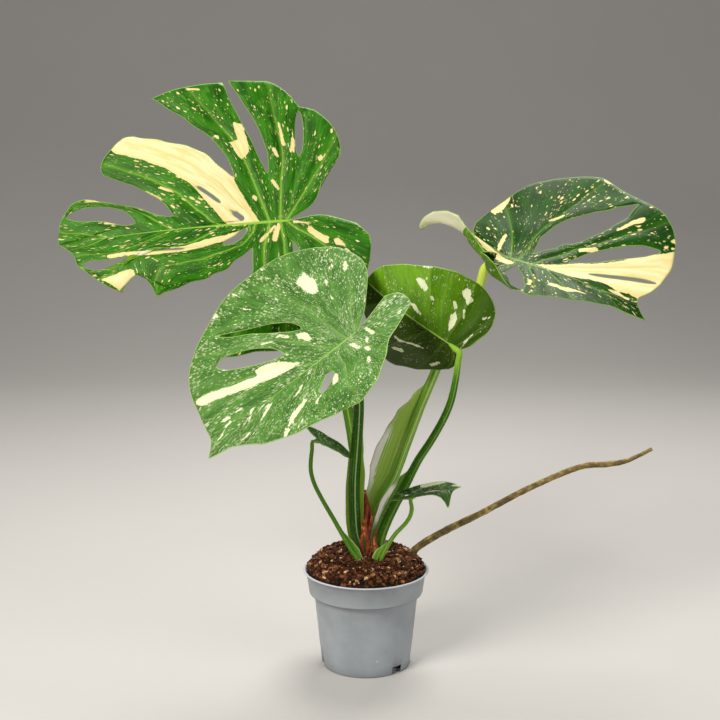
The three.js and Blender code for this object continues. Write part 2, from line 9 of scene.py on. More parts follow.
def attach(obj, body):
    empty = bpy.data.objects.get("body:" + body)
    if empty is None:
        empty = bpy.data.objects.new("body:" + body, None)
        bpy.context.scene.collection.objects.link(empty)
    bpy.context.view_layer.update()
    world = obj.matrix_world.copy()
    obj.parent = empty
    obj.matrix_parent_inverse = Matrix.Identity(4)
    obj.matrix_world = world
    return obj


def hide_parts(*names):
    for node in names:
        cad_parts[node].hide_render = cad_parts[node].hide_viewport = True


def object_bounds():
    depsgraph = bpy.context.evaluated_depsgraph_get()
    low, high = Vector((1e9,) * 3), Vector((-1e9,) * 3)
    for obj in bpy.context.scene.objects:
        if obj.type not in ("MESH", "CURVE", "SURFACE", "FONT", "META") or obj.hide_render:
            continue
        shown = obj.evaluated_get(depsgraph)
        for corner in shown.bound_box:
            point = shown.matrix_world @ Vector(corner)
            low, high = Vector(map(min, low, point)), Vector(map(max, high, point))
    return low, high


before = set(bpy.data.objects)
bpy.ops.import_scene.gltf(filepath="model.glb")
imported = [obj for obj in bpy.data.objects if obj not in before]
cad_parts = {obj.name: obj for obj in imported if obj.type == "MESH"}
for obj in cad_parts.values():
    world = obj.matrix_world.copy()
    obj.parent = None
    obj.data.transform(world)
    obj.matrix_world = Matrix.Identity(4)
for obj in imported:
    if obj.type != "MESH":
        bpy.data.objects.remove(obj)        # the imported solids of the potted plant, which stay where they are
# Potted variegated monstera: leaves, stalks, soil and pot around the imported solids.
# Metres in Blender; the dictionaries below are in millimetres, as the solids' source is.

mm = 0.001
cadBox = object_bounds()
scene = bpy.context.scene


# Small helpers for nodes
def put(tree, kind, inputs=None, **settings):
    made = tree.nodes.new("ShaderNode" + kind)
    for name, value in settings.items():
        setattr(made, name, value)
    for name, value in (inputs or {}).items():
        if isinstance(value, bpy.types.NodeSocket):
            tree.links.new(value, made.inputs[name])
        else:
            made.inputs[name].default_value = value
    return made


def calc(tree, operation, first, second=0.0):
    return put(tree, "Math", {0: first, 1: second}, operation=operation).outputs[0]


def times(tree, first, second):
    return calc(tree, "MULTIPLY", first, second)


def plus(tree, first, second):
    return calc(tree, "ADD", first, second)


def less(tree, first, second):
    return calc(tree, "SUBTRACT", first, second)


def step(tree, value, low, high, toLow=0.0, toHigh=1.0):
    # A smooth rise from toLow to toHigh; with high below low it falls instead
    return put(tree, "MapRange", {0: value, 1: low, 2: high, 3: toLow, 4: toHigh},
               interpolation_type="SMOOTHSTEP").outputs[0]


def blend(tree, factor, first, second):
    return put(tree, "Mix", {0: factor, 6: first, 7: second}, data_type="RGBA").outputs[2]


def grain(tree, place, scale, detail=2.0, roughness=0.5):
    return put(tree, "TexNoise", {"Vector": place, "Scale": scale, "Detail": detail,
                                  "Roughness": roughness}).outputs[0]


def stretch(tree, place, factors, offset=(0, 0, 0)):
    return put(tree, "Mapping", {"Vector": place, "Scale": factors, "Location": offset}).outputs[0]


def rgb(red, green, blue):
    def linear(value):
        value /= 255
        return value / 12.92 if value <= 0.04045 else ((value + 0.055) / 1.055) ** 2.4
    return (linear(red), linear(green), linear(blue), 1)


def newGroup(name, inputs, outputs):
    group = bpy.data.node_groups.new(name, "ShaderNodeTree")
    for label, kind, value in inputs:
        socket = group.interface.new_socket(label, in_out="INPUT", socket_type="NodeSocket" + kind)
        if kind != "Vector":
            socket.default_value = value
    for label, kind in outputs:
        group.interface.new_socket(label, in_out="OUTPUT", socket_type="NodeSocket" + kind)
    return group, group.nodes.new("NodeGroupInput").outputs, group.nodes.new("NodeGroupOutput").inputs


def newMaterial(name):
    material = bpy.data.materials.new(name)
    material.use_nodes = True
    tree = material.node_tree
    tree.nodes.clear()
    out = tree.nodes.new("ShaderNodeOutputMaterial")
    return material, tree, out.inputs["Surface"]


def bumped(tree, height, strength, distance):
    return put(tree, "Bump", {"Height": height, "Strength": strength, "Distance": distance}).outputs[0]


def attribute(tree, name):
    return put(tree, "Attribute", attribute_name=name).outputs["Fac"]


# Small helpers for meshes
def finishPiece(bm, name, materials, nodes, smooth=True):
    for face in bm.faces:
        face.smooth = smooth
    mesh = bpy.data.meshes.new(name)
    bm.to_mesh(mesh)
    bm.free()
    piece = bpy.data.objects.new(name, mesh)
    scene.collection.objects.link(piece)
    for material in materials:
        mesh.materials.append(material)
    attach(piece, "root")
    if nodes:
        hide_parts(*nodes)
    return piece


def spin(bm, outline, steps, scale=1.0, merge=1e-6, start=0):
    # An outline of (radius, height) points, turned once round the upright axis
    chain = [bm.verts.new((radius * scale, 0, height * scale)) for radius, height in outline]
    edges = [bm.edges.new(pair) for pair in zip(chain, chain[1:])]
    if start:
        turned = Matrix.Rotation(math.radians(start), 3, "Z")
        bmesh.ops.rotate(bm, verts=chain, cent=(0, 0, 0), matrix=turned)
    bmesh.ops.spin(bm, geom=chain + edges, cent=(0, 0, 0), axis=(0, 0, 1), steps=steps, angle=math.tau,
                   use_merge=True)
    bmesh.ops.remove_doubles(bm, verts=bm.verts, dist=merge)


def profileAt(values, t):
    # Values at even places from 0 to 1, joined by smooth rises
    if len(values) == 1:
        return values[0]
    place = min(max(t, 0), 1) * (len(values) - 1)
    index = min(int(place), len(values) - 2)
    part = (1 - math.cos(math.pi * (place - index))) / 2
    return values[index] + (values[index + 1] - values[index]) * part


def splineAt(points, t):
    # A smooth flat curve through the points, by its share of their chain's length
    places = [0]
    for before, after in zip(points, points[1:]):
        places.append(places[-1] + math.dist(before, after))
    if places[-1] < 1e-6:
        return points[0]
    place = min(max(t, 0), 1) * places[-1]
    index = 0
    while index < len(points) - 2 and places[index + 1] < place:
        index += 1

    def slope(i, axis):
        low, high = max(i - 1, 0), min(i + 1, len(points) - 1)
        return (points[high][axis] - points[low][axis]) / (places[high] - places[low])

    span = places[index + 1] - places[index]
    u = (place - places[index]) / span
    return tuple((2 * u**3 - 3 * u**2 + 1) * points[index][axis]
                 + (u**3 - 2 * u**2 + u) * span * slope(index, axis)
                 + (3 * u**2 - 2 * u**3) * points[index + 1][axis]
                 + (u**3 - u**2) * span * slope(index + 1, axis) for axis in (0, 1))


# Stage, camera and lights
print("stage, camera and lights")
studio = {
    "cameraAt": (-0.00575, -1.0965, 0.4624), "cameraTilt": 81.3, "lens": 59.5,
    "floorFront": -3.0, "bendStart": 1.6, "bendRadius": 1.8, "backdropTop": 6.0, "halfWidth": 7.0,
    "floorTone": (0.50, 0.485, 0.465, 1), "worldTone": (0.60, 0.59, 0.58, 1), "worldStrength": 0.45,
    "lights": [  # name, place, aimed at, size, watts, tone
        ("key", (-0.95, -1.15, 1.45), (0, 0, 0.3), 0.7, 40, (1.0, 0.97, 0.92)),
        ("top", (0.25, 0.75, 1.6), (0, 0, 0.3), 0.9, 26, (1.0, 0.98, 0.94)),
        ("side", (1.5, -0.9, 0.9), (0, 0, 0.25), 1.1, 9, (0.96, 0.98, 1.0)),
    ],
}

# The pale floor sweeps up into a backdrop a long way behind the plant
floorMesh = bmesh.new()
sweep = [(studio["floorFront"], 0.0)]
for degrees in range(0, 91, 6):
    turned = math.radians(degrees)
    sweep.append((studio["bendStart"] + studio["bendRadius"] * math.sin(turned),
                  studio["bendRadius"] * (1 - math.cos(turned))))
sweep.append((sweep[-1][0], studio["backdropTop"]))
chain = [floorMesh.verts.new((-studio["halfWidth"], y, z)) for y, z in sweep]
strip = [floorMesh.edges.new(pair) for pair in zip(chain, chain[1:])]
pulled = bmesh.ops.extrude_edge_only(floorMesh, edges=strip)["geom"]
farSide = [item for item in pulled if isinstance(item, bmesh.types.BMVert)]
bmesh.ops.translate(floorMesh, verts=farSide, vec=(2 * studio["halfWidth"], 0, 0))
bmesh.ops.recalc_face_normals(floorMesh, faces=floorMesh.faces)
for face in floorMesh.faces:
    face.smooth = True
floorData = bpy.data.meshes.new("floor")
floorMesh.to_mesh(floorData)
floorMesh.free()
floor = bpy.data.objects.new("floor", floorData)
scene.collection.objects.link(floor)
floorMaterial, tree, surface = newMaterial("pale_floor")
place = put(tree, "TexCoord").outputs["Object"]
tone = blend(tree, grain(tree, place, 3.0, 4), studio["floorTone"],
             tuple(value * 0.94 for value in studio["floorTone"][:3]) + (1,))
shader = put(tree, "BsdfPrincipled", {"Base Color": tone, "Roughness": 0.8})
tree.links.new(shader.outputs[0], surface)
floorData.materials.append(floorMaterial)

world = bpy.data.worlds.new("studio")
world.use_nodes = True
world.node_tree.nodes["Background"].inputs["Color"].default_value = studio["worldTone"]
world.node_tree.nodes["Background"].inputs["Strength"].default_value = studio["worldStrength"]
scene.world = world

for name, at, aim, size, watts, tone in studio["lights"]:
    lamp = bpy.data.lights.new(name, "AREA")
    lamp.shape = "SQUARE"
    lamp.size = size
    lamp.energy = watts
    lamp.color = tone
    light = bpy.data.objects.new(name, lamp)
    light.location = at
    light.rotation_euler = (Vector(aim) - Vector(at)).to_track_quat("-Z", "Y").to_euler()
    scene.collection.objects.link(light)

cameraData = bpy.data.cameras.new("camera")
cameraData.sensor_width = 36
cameraData.lens = studio["lens"]
camera = bpy.data.objects.new("camera", cameraData)
camera.location = studio["cameraAt"]
camera.rotation_euler = (math.radians(studio["cameraTilt"]), 0, 0)
scene.collection.objects.link(camera)
scene.camera = camera
scene.view_settings.view_transform = "Standard"


# Leaves
# A leaf is drawn flat first: x runs along the midrib from the stalk to the tip, y > 0 is the left
# half and z is the upper face. Gap lines run out from the roots on the midrib and split each half
# into fingers; openings [from, to, widths] are where two fingers part. Then the leaf is bent by
# [x, y, towards, turn, over, half], turned by heading, pitch and roll, and moved to its place;
# a bend without a half turns both.
leafBuild = {
    "thickness": 0.8, "rimThickness": 0.45, "rimWidth": 1.2, "veinBoost": 0.8, "grooveWidth": 1.3,
    "keelWidth": 1.5, "camber": 1.2, "groove": 0.4, "wave": 1.3, "waveScale": 0.022, "bulge": 2.5,
    "rightStart": 400, "rows": 40, "rowGap": 0.008,
    "columns": (0, 0.07, 0.16, 0.26, 0.36, 0.43, 0.47, 0.49, 0.5, 0.51, 0.53, 0.57, 0.64, 0.74, 0.84,
                0.93, 1),
}
leaves = {
    "blade_1": {
        "at": (-74, 50, 422), "aim": (186, -4, -62), "keel": 2.6,
        "bends": [(0, 0, 90, 6, 30), (0, 26, 90, -34, 40), (0, 0, -90, 6, 30), (60, 0, 0, -12, 160),
                  (0, 0, 180, 8, 60)],
        "roots": [0, 4, 12, 24, 38, 92, 128, 221],
        "left": {
            "lines": [[(-32, -3), (-64, 10)], [(-8, 48), (-18, 108)], [(20, 60), (42, 124)],
                      [(56, 55), (115, 90)],
                      [(48, 13), (64, 20), (96, 21), (121, 19.5), (138, 19), (150, 22), (146, 42),
                       (147, 58)],
                      [(126, 12), (152, 20), (164, 28), (203, 25)], [(172, 12), (213, 6)]],
            "openings": {1: [(0.22, 1, [6, 10, 13, 14])], 3: [(0.22, 1, [8, 21, 35, 49, 60])],
                         4: [(0.04, 0.22, [6]), (0.45, 0.69, [2.5]), (0.9, 1, [12, 30])],
                         5: [(0.57, 0.96, [7, 11, 10, 8])]},
            "margins": [[(-76, 28), (-70, 56), (-48, 86)], [(10, 124)], [(66, 127), (98, 122)], [],
                        [(174, 50), (188, 39)], [(207, 13)], []],
        },
        "right": {
            "lines": [[(-26, -17), (-38, -44)], [(-15, -62), (-21, -117)], [(20, -74), (49, -149)],
                      [(66, -77), (100, -102), (131, -119)], [(94, -49), (165, -88)],
                      [(136, -33), (178, -52)], [(172, -24), (216, -27)]],
            "openings": {1: [(0.57, 0.96, [6, 8, 6])], 2: [(0.33, 1, [6, 10, 12, 10, 6])],
                         3: [(0.33, 1, [8, 13, 20, 31, 42])],
                         4: [(0.04, 0.12, [5]), (0.22, 0.4, [3])],
                         5: [(0.22, 1, [10, 16, 22, 26])], 6: [(0.22, 0.96, [12, 15, 14, 9])]},
            "margins": [[(-57, -62), (-54, -90), (-36, -112)], [(-12, -131), (6, -146), (28, -149)],
                        [(75, -147), (100, -144)], [(152, -99)], [(173, -79), (175, -71)],
                        [(193, -42), (204, -40)], [(221, -13)]],
        },
        "areas": [  # cream sectors and patches, as outlines
            [(27, 0), (36, -17), (43, -32), (50, -50), (66, -77), (100, -104), (131, -119),
             (160, -112), (168, -92), (158, -84), (136, -76), (111, -62), (87, -42), (80, -30),
             (68, -13), (57, 2)],
            [(45, -106), (36, -102), (32, -82), (32, -73), (41, -65), (45, -74), (50, -85), (42, -87),
             (44, -95)],
            [(182, 42), (150, 35), (148, 43), (165, 55), (172, 47)],
        ],
        "strokes": [  # cream streaks and blotches: x, y, width
            [(44, 8, 4), (62, 14, 6), (80, 17, 7), (98, 21, 6), (124, 23, 4), (152, 20, 5),
             (172, 20, 4)],
            [(-19, 12, 5), (-34, 25, 7)], [(-44, 28, 8), (-63, 33, 7)], [(-5, 2, 3), (-23, 5, 4)],
            [(10, 4, 4), (15, 18, 6)], [(14, 5, 2.5), (29, 20, 3)], [(192, -41, 3), (153, -35, 3)],
            [(175, -16, 3), (164, -14, 3)], [(-12, -84, 5), (-10, -71, 5)],
            [(-36, -61, 6), (-37, -62, 6)], [(-38, -101, 5), (-39, -102, 5)],
            [(-50, -88, 4), (-51, -89, 4)], [(29, -25, 5), (31, -27, 4)], [(63, -93, 4), (60, -90, 3)],
            [(131, 30, 4), (127, 31, 3)], [(8, -75, 4), (5, -67, 4)], [(1, -102, 2.5), (-2, -79, 4)],
            [(12, -43, 3.5), (7, -34, 3)], [(89, -144, 2), (72, -142, 2)],
            [(134, -41, 4), (121, -32, 5)], [(120, -45, 3), (110, -40, 3)],
        ],
    },
    "blade_2": {
        "at": (-8, -60, 329), "aim": (-151.5, -32, -24.5), "keel": 2.6, "calm": 0.35,
        "bends": [(0, 0, 90, 20, 40), (0, 0, -90, 12, 40), (90, 0, 0, -22, 110), (0, 0, 180, -10, 60)],
        "roots": [0, 6, 16, 34, 60, 172],
        "left": {
            "lines": [[(-24, -8), (-46, -16)], [(-10, 12), (-26, 26)], [(24, 42), (34, 78)],
                      [(46, 20), (57, 29), (67, 38), (84, 80)], [(105, 20), (134, 38)]],
            "openings": {3: [(0.24, 0.54, [8])]},
            "margins": [[(-58, -10), (-57, 6), (-44, 16)], [(-8, 37), (10, 57)], [(50, 86), (67, 89)],
                        [(102, 70), (124, 51)], [(140, 27), (152, 11), (161, 7)]],
        },
        "right": {
            "lines": [[(-20, -14), (-42, -36)], [(-14, -56), (-37, -105)],
                      [(33, -43), (60, -67), (84, -83), (100, -98)], [(66, -36), (96, -56), (133, -74)],
                      [(105, -24), (149, -42)]],
            "openings": {2: [(0.33, 0.9, [11, 10, 5, 4])], 3: [(0.33, 0.8, [12, 18, 14])]},
            "margins": [[(-55, -52), (-60, -70), (-52, -92)], [(-12, -117), (18, -121), (58, -117)],
                        [(118, -87)], [(142, -60)], [(156, -22), (160, -10)]],
        },
        "areas": [
            [(-3, -90), (-9, -88), (-12, -81), (-11, -73), (-9, -65), (-4, -60), (1, -63), (3, -69),
             (3, -81)],
            [(144, -52), (132, -49), (124, -43), (101, -33), (92, -29), (89, -36), (79, -33),
             (70, -27), (56, -12), (66, -12), (80, -14), (90, -19), (105, -24), (131, -37),
             (146, -44)],
            [(41, -41), (31, -33), (32, -24), (36, -24), (40, -33)],
            [(78, -112), (76, -105), (76, -100), (86, -107)],
        ],
        "strokes": [
            [(52, -49, 3), (46, -41, 4)], [(67, -53, 2), (58, -46, 2)],
            [(83, 31, 4), (100, 38, 7), (110, 48, 4), (119, 55, 4)],
            [(100, 4, 2), (111, 10, 5), (121, 16, 2.5)], [(104, -1, 2), (112, 3, 2)],
            [(117, -4, 3), (125, 1, 3)], [(116, -12, 2), (140, -16, 2)], [(137, -11, 2), (154, -5, 2)],
            [(134, 15, 2), (143, 14, 2)], [(48, 29, 6), (54, 40, 6)], [(57, -100, 3), (52, -89, 3)],
            [(52, -117, 2.5), (49, -110, 2.5)], [(-11, -55, 2), (-10, -46, 2.5)],
            [(-19, -67, 2.5), (-18, -61, 3)], [(-7, 4, 4), (-7, 14, 4)], [(13, 9, 4), (13, 18, 5)],
            [(9, 25, 5), (10, 29, 4)], [(18, 39, 3), (21, 48, 3)], [(2, 16, 4), (3, 18, 3)],
            [(-46, -71, 5), (-40, -66, 4)], [(-39, -6, 1.5), (-47, -4, 2)],
            [(-25, 11, 2), (-34, 13, 2)], [(72, 40, 3), (83, 49, 2)], [(56, 2, 2), (61, 7, 2)],
            [(73, 12, 2), (84, 18, 2.5)],
        ],
    },
    "blade_3": {
        "at": (85, -20, 307), "aim": (164, 32, 86), "keel": 2.4,
        "bends": [(0, 0, 90, 26, 30), (0, 0, -90, 40, 30), (40, 0, 0, 30, 80)],
        "roots": [0, 7, 22, 46, 114],
        "left": {
            "lines": [[(-6, 7), (-10, 17)], [(0, 30), (0, 55)], [(32, 34), (44, 59)],
                      [(66, 19), (92, 36)]],
            "openings": {},
            "margins": [[(-13, 30), (-9, 46)], [(12, 60), (27, 61)], [(61, 53), (76, 45)],
                        [(104, 26), (112, 14)]],
        },
        "right": {
            "lines": [[(-4, -6), (-5, -13)], [(4, -20), (8, -36)], [(37, -38), (50, -72)],
                      [(72, -26), (96, -50)]],
            "openings": {},
            "margins": [[(-3, -20), (2, -28)], [(17, -47), (30, -60)], [(66, -76), (84, -66)],
                        [(108, -26)]],
        },
        "areas": [
            [(73, 31), (69, 35), (65, 35), (60, 33), (55, 32), (56, 27), (60, 27), (66, 29)],
            [(29, 46), (27, 50), (28, 56), (25, 52), (21, 51), (19, 47), (15, 45), (17, 38), (21, 42),
             (26, 44)],
        ],
        "strokes": [
            [(28, 34, 3), (25, 31, 4), (23, 27, 1.5), (21, 22, 7), (19, 16, 7), (17, 9, 1)],
            [(16, 32, 3), (13, 26, 1.5)], [(60, 11, 2), (54, 9, 3.5), (48, 7, 2)],
            [(76, 45, 1.5), (66, 49, 2)], [(59, 51, 2.5), (60, 50, 2)], [(64, 38, 2), (63, 37, 2)],
            [(48, 26, 2.5), (46, 25, 2.5)], [(-2, 36, 2.5), (-7, 40, 2.5)],
            [(-3, 19, 1), (-1, 10, 1.2), (0, 2, 1)], [(30, -20, 2), (60, -32, 3)],
            [(48, -44, 5), (60, -50, 4)], [(10, -24, 3), (16, -36, 4)],
        ],
    },
    "blade_4": {
        "at": (134, 30, 388), "aim": (-46, -11, 27), "keel": 2.4,
        "bends": [(-2, -30, 243, 57, 17, "right"), (0, 0, 90, 12, 30), (0, 0, -90, 25, 40),
                  (-18, 38, 204, 26, 6, "right"), (-56, 36, 193, -118, 53, "right"),
                  (60, 0, 0, -25, 90)],
        "roots": [0, 6, 16, 40, 56, 156],
        "left": {
            "lines": [[(-30, 8), (-58, 16)], [(-10, 64), (-28, 114)],
                      [(27, 44), (43, 63), (62, 86), (76, 113)],
                      [(70, 28), (88, 43), (106, 58), (131, 76)], [(95, 17), (142, 40)]],
            "openings": {2: [(0.12, 0.96, [12, 26, 38, 34, 22, 8])], 3: [(0.22, 0.9, [8, 14, 15, 10])],
                         4: [(0.33, 0.96, [3.5, 4, 4])]},
            "margins": [[(-66, 28), (-66, 42), (-63, 58), (-57, 77), (-46, 99)],
                        [(-4, 124), (18, 129), (48, 120)], [(98, 108), (110, 101), (123, 90)],
                        [(139, 60)], [(141, 27), (137, 14), (145, 5)]],
        },
        "right": {
            "lines": [[(-28, -2), (-54, -3)], [(-20, -22), (-46, -39)],
                      [(24, -20), (34, -29), (50, -46), (67, -62)], [(66, -26), (84, -48)],
                      [(92, -8), (116, -16)]],
            "openings": {2: [(0.12, 0.95, [11, 15, 13, 13, 11])]},
            "margins": [[(-68, -8), (-91, -6), (-76, -22), (-58, -34)],
                        [(-35, -44), (-5, -54), (13, -80), (40, -90), (57, -84)], [(74, -66)],
                        [(100, -31)], [(130, -9), (144, -6)]],
        },
        "areas": [
            [(34, 2), (56, 12), (85, 29), (100, 42), (116, 60), (132, 78), (144, 60), (150, 41),
             (144, 24), (140, 14), (128, 13), (119, 9), (102, 9), (81, 2), (59, 0)],
            [(-66, 50), (-64, 64), (-58, 78), (-54, 69), (-52, 60), (-54, 50)],
            [(-42, 0), (-46, -16), (-44, -30), (-42, -50), (-66, -48), (-100, -10), (-90, 4)],
        ],
        "strokes": [
            [(-15, 2, 3), (-21, 15, 5), (-24, 26, 4)],
            [(-38, -3, 5), (-20, -6, 9), (-4, -8, 11), (10, -7, 5)], [(10, -62, 2), (20, -72, 2)],
            [(26, -64, 2.5), (34, -72, 2)], [(0, -46, 2), (6, -54, 3)], [(5, 61, 3), (13, 70, 5)],
            [(59, 36, 5), (72, 41, 6)], [(89, 92, 7), (83, 85, 6), (76, 70, 3)],
            [(24, 128, 4), (37, 125, 4)], [(70, -24, 6), (82, -22, 8), (92, -17, 4)],
            [(93, -15, 2), (100, -14, 2)], [(49, -27, 4), (60, -42, 4)], [(121, 86, 4), (127, 85, 5)],
            [(112, 6, 2), (131, 8, 3)],
        ],
    },
    "blade_5": {
        "at": (-46, -26, 226), "aim": (15, -29, 15), "keel": 1.2,
        "bends": [(0, 0, 90, 20, 16), (0, 0, -90, 20, 16), (14, 0, 0, -8, 24)],
        "roots": [0, 9, 38],
        "left": {
            "lines": [[(-5, 4), (-9, 9)], [(12, 8), (15, 13)]], "openings": {},
            "margins": [[(-11, 12), (0, 15)], [(29, 12), (37, 7)]],
        },
        "right": {
            "lines": [[(-2, -5), (-4, -10)], [(12, -8), (15, -14)]], "openings": {},
            "margins": [[(-3, -13), (4, -16)], [(29, -12), (37, -7)]],
        },
        "areas": [],
        "strokes": [[(8, 6, 0.8), (12, 9, 0.8)], [(20, -5, 0.8), (24, -7, 0.8)]],
    },
    "blade_6": {
        "at": (41, -36, 175), "aim": (-8, 15, 3), "keel": 1.2,
        "bends": [(0, 0, 90, 14, 14), (0, 0, -90, 6, 14), (27, -10, -60, -66, 12), (22, 0, 0, -14, 26)],
        "roots": [0, 10, 47],
        "left": {
            "lines": [[(-7, 4), (-13, 8)], [(14, 11), (18, 16)]], "openings": {},
            "margins": [[(-17, 10), (-2, 15)], [(34, 12)]],
        },
        "right": {
            "lines": [[(-8, -2), (-16, -3)], [(14, -10), (22, -17)]], "openings": {},
            "margins": [[(-21, -5), (-8, -11)], [(31, -21), (37, -27), (39, -12)]],
        },
        "areas": [],
        "strokes": [
            [(14, -4, 3), (24, -8, 4), (30, -12, 2)], [(40, 2, 4), (47, 0, 4)],
            [(0, 4, 0.8), (12, 10, 0.8)], [(13, 13, 8), (24, 13, 9), (31, 12, 4)],
        ],
    },
}


def openingWidth(openings, t):
    for start, end, widths in openings:
        if t > start and (t < end or end == 1):
            place = (t - start) / (end - start)
            taper = 1 if end == 1 else math.sqrt(max(1 - place, 0) * 6)
            return profileAt(widths, place) * min(1, math.sqrt(place * 6), taper)
    return 0


def gapEdge(line, openings, turn, t):
    x, y = splineAt(line, t)
    width = openingWidth(openings, t)
    if width == 0:
        return x, y
    ahead, behind = splineAt(line, min(t + 0.02, 1)), splineAt(line, max(t - 0.02, 0))
    shift = turn * width / (2 * math.dist(ahead, behind))
    return x + shift * (ahead[1] - behind[1]), y - shift * (ahead[0] - behind[0])


def bendPoint(point, bend):
    atX, atY, towards, turn, over = bend[:5]
    dx, dy = math.cos(math.radians(towards)), math.sin(math.radians(towards))
    along = (point[0] - atX) * dx + (point[1] - atY) * dy
    if along <= 0:
        return point
    angle = math.radians(turn)
    radius = over / angle
    arc = min(along, over) / radius
    beyond = max(along - over, 0)
    moved = (radius - point[2]) * math.sin(arc) + beyond * math.cos(angle)
    risen = radius - (radius - point[2]) * math.cos(arc) + beyond * math.sin(angle)
    return point[0] + (moved - along) * dx, point[1] + (moved - along) * dy, risen


def leafMatrix(plan):
    heading, pitch, roll = (math.radians(angle) for angle in plan["aim"])
    turn = Matrix.Rotation(heading, 4, "Z") @ Matrix.Rotation(-pitch, 4, "Y")
    return Matrix.Translation(plan["at"]) @ (turn @ Matrix.Rotation(roll, 4, "X"))


def rowPlaces(plan):
    # Rows out from the midrib: even ones, and closer ones where an opening starts or ends
    needed = [0, leafBuild["rowGap"], 0.02, 0.04, 1]
    closeRows = (0.01, 0.035, 0.08, 0.15)
    for half in (plan["left"], plan["right"]):
        for openings in half["openings"].values():
            for start, end, _ in openings:
                span = end - start
                needed += [start] + [start + span * part for part in closeRows]
                if end < 1:
                    needed += [end] + [end - span * part for part in closeRows]
    even = [row / leafBuild["rows"] for row in range(1, leafBuild["rows"])]
    gap = leafBuild["rowGap"]
    needed += [place for place in even if min(abs(place - known) for known in needed) > gap]
    rows = []
    for place in sorted(needed):
        if not rows or place - rows[-1] > 0.0015:
            rows.append(place)
    return rows


def segmentDistance(x, y, start, end):
    # How far a flat point is from a straight piece of a line, and where along it the nearest place is
    dx, dy = end[0] - start[0], end[1] - start[1]
    along = max(0, min(1, ((x - start[0]) * dx + (y - start[1]) * dy) / max(dx * dx + dy * dy, 1e-9)))
    return math.hypot(x - start[0] - along * dx, y - start[1] - along * dy), along


farOutside = -30.0


def creamField(plan, x, y):
    # Millimetres inside the nearest cream patch or stroke, below 0 outside them all
    best = farOutside
    for outline in plan["areas"]:
        inside = False
        nearest = math.inf
        for start, end in zip(outline, outline[1:] + outline[:1]):
            nearest = min(nearest, segmentDistance(x, y, start, end)[0])
            if (start[1] > y) != (end[1] > y):
                if x < start[0] + (y - start[1]) * (end[0] - start[0]) / (end[1] - start[1]):
                    inside = not inside
        best = max(best, nearest if inside else -nearest)
    for stroke in plan["strokes"]:
        for start, end in zip(stroke, stroke[1:]):
            away, along = segmentDistance(x, y, start, end)
            best = max(best, (start[2] + (end[2] - start[2]) * along) / 2 - away)
    return best


def withinBox(point):
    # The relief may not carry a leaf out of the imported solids' box
    spare = leafBuild["thickness"] * mm
    return Vector([min(max(value, low + spare), high - spare)
                   for value, low, high in zip(point, *cadBox)])


halfNames = {"left": 1, "right": -1}


def chainLength(points):
    return sum(math.dist(before, after) for before, after in zip(points, points[1:]))


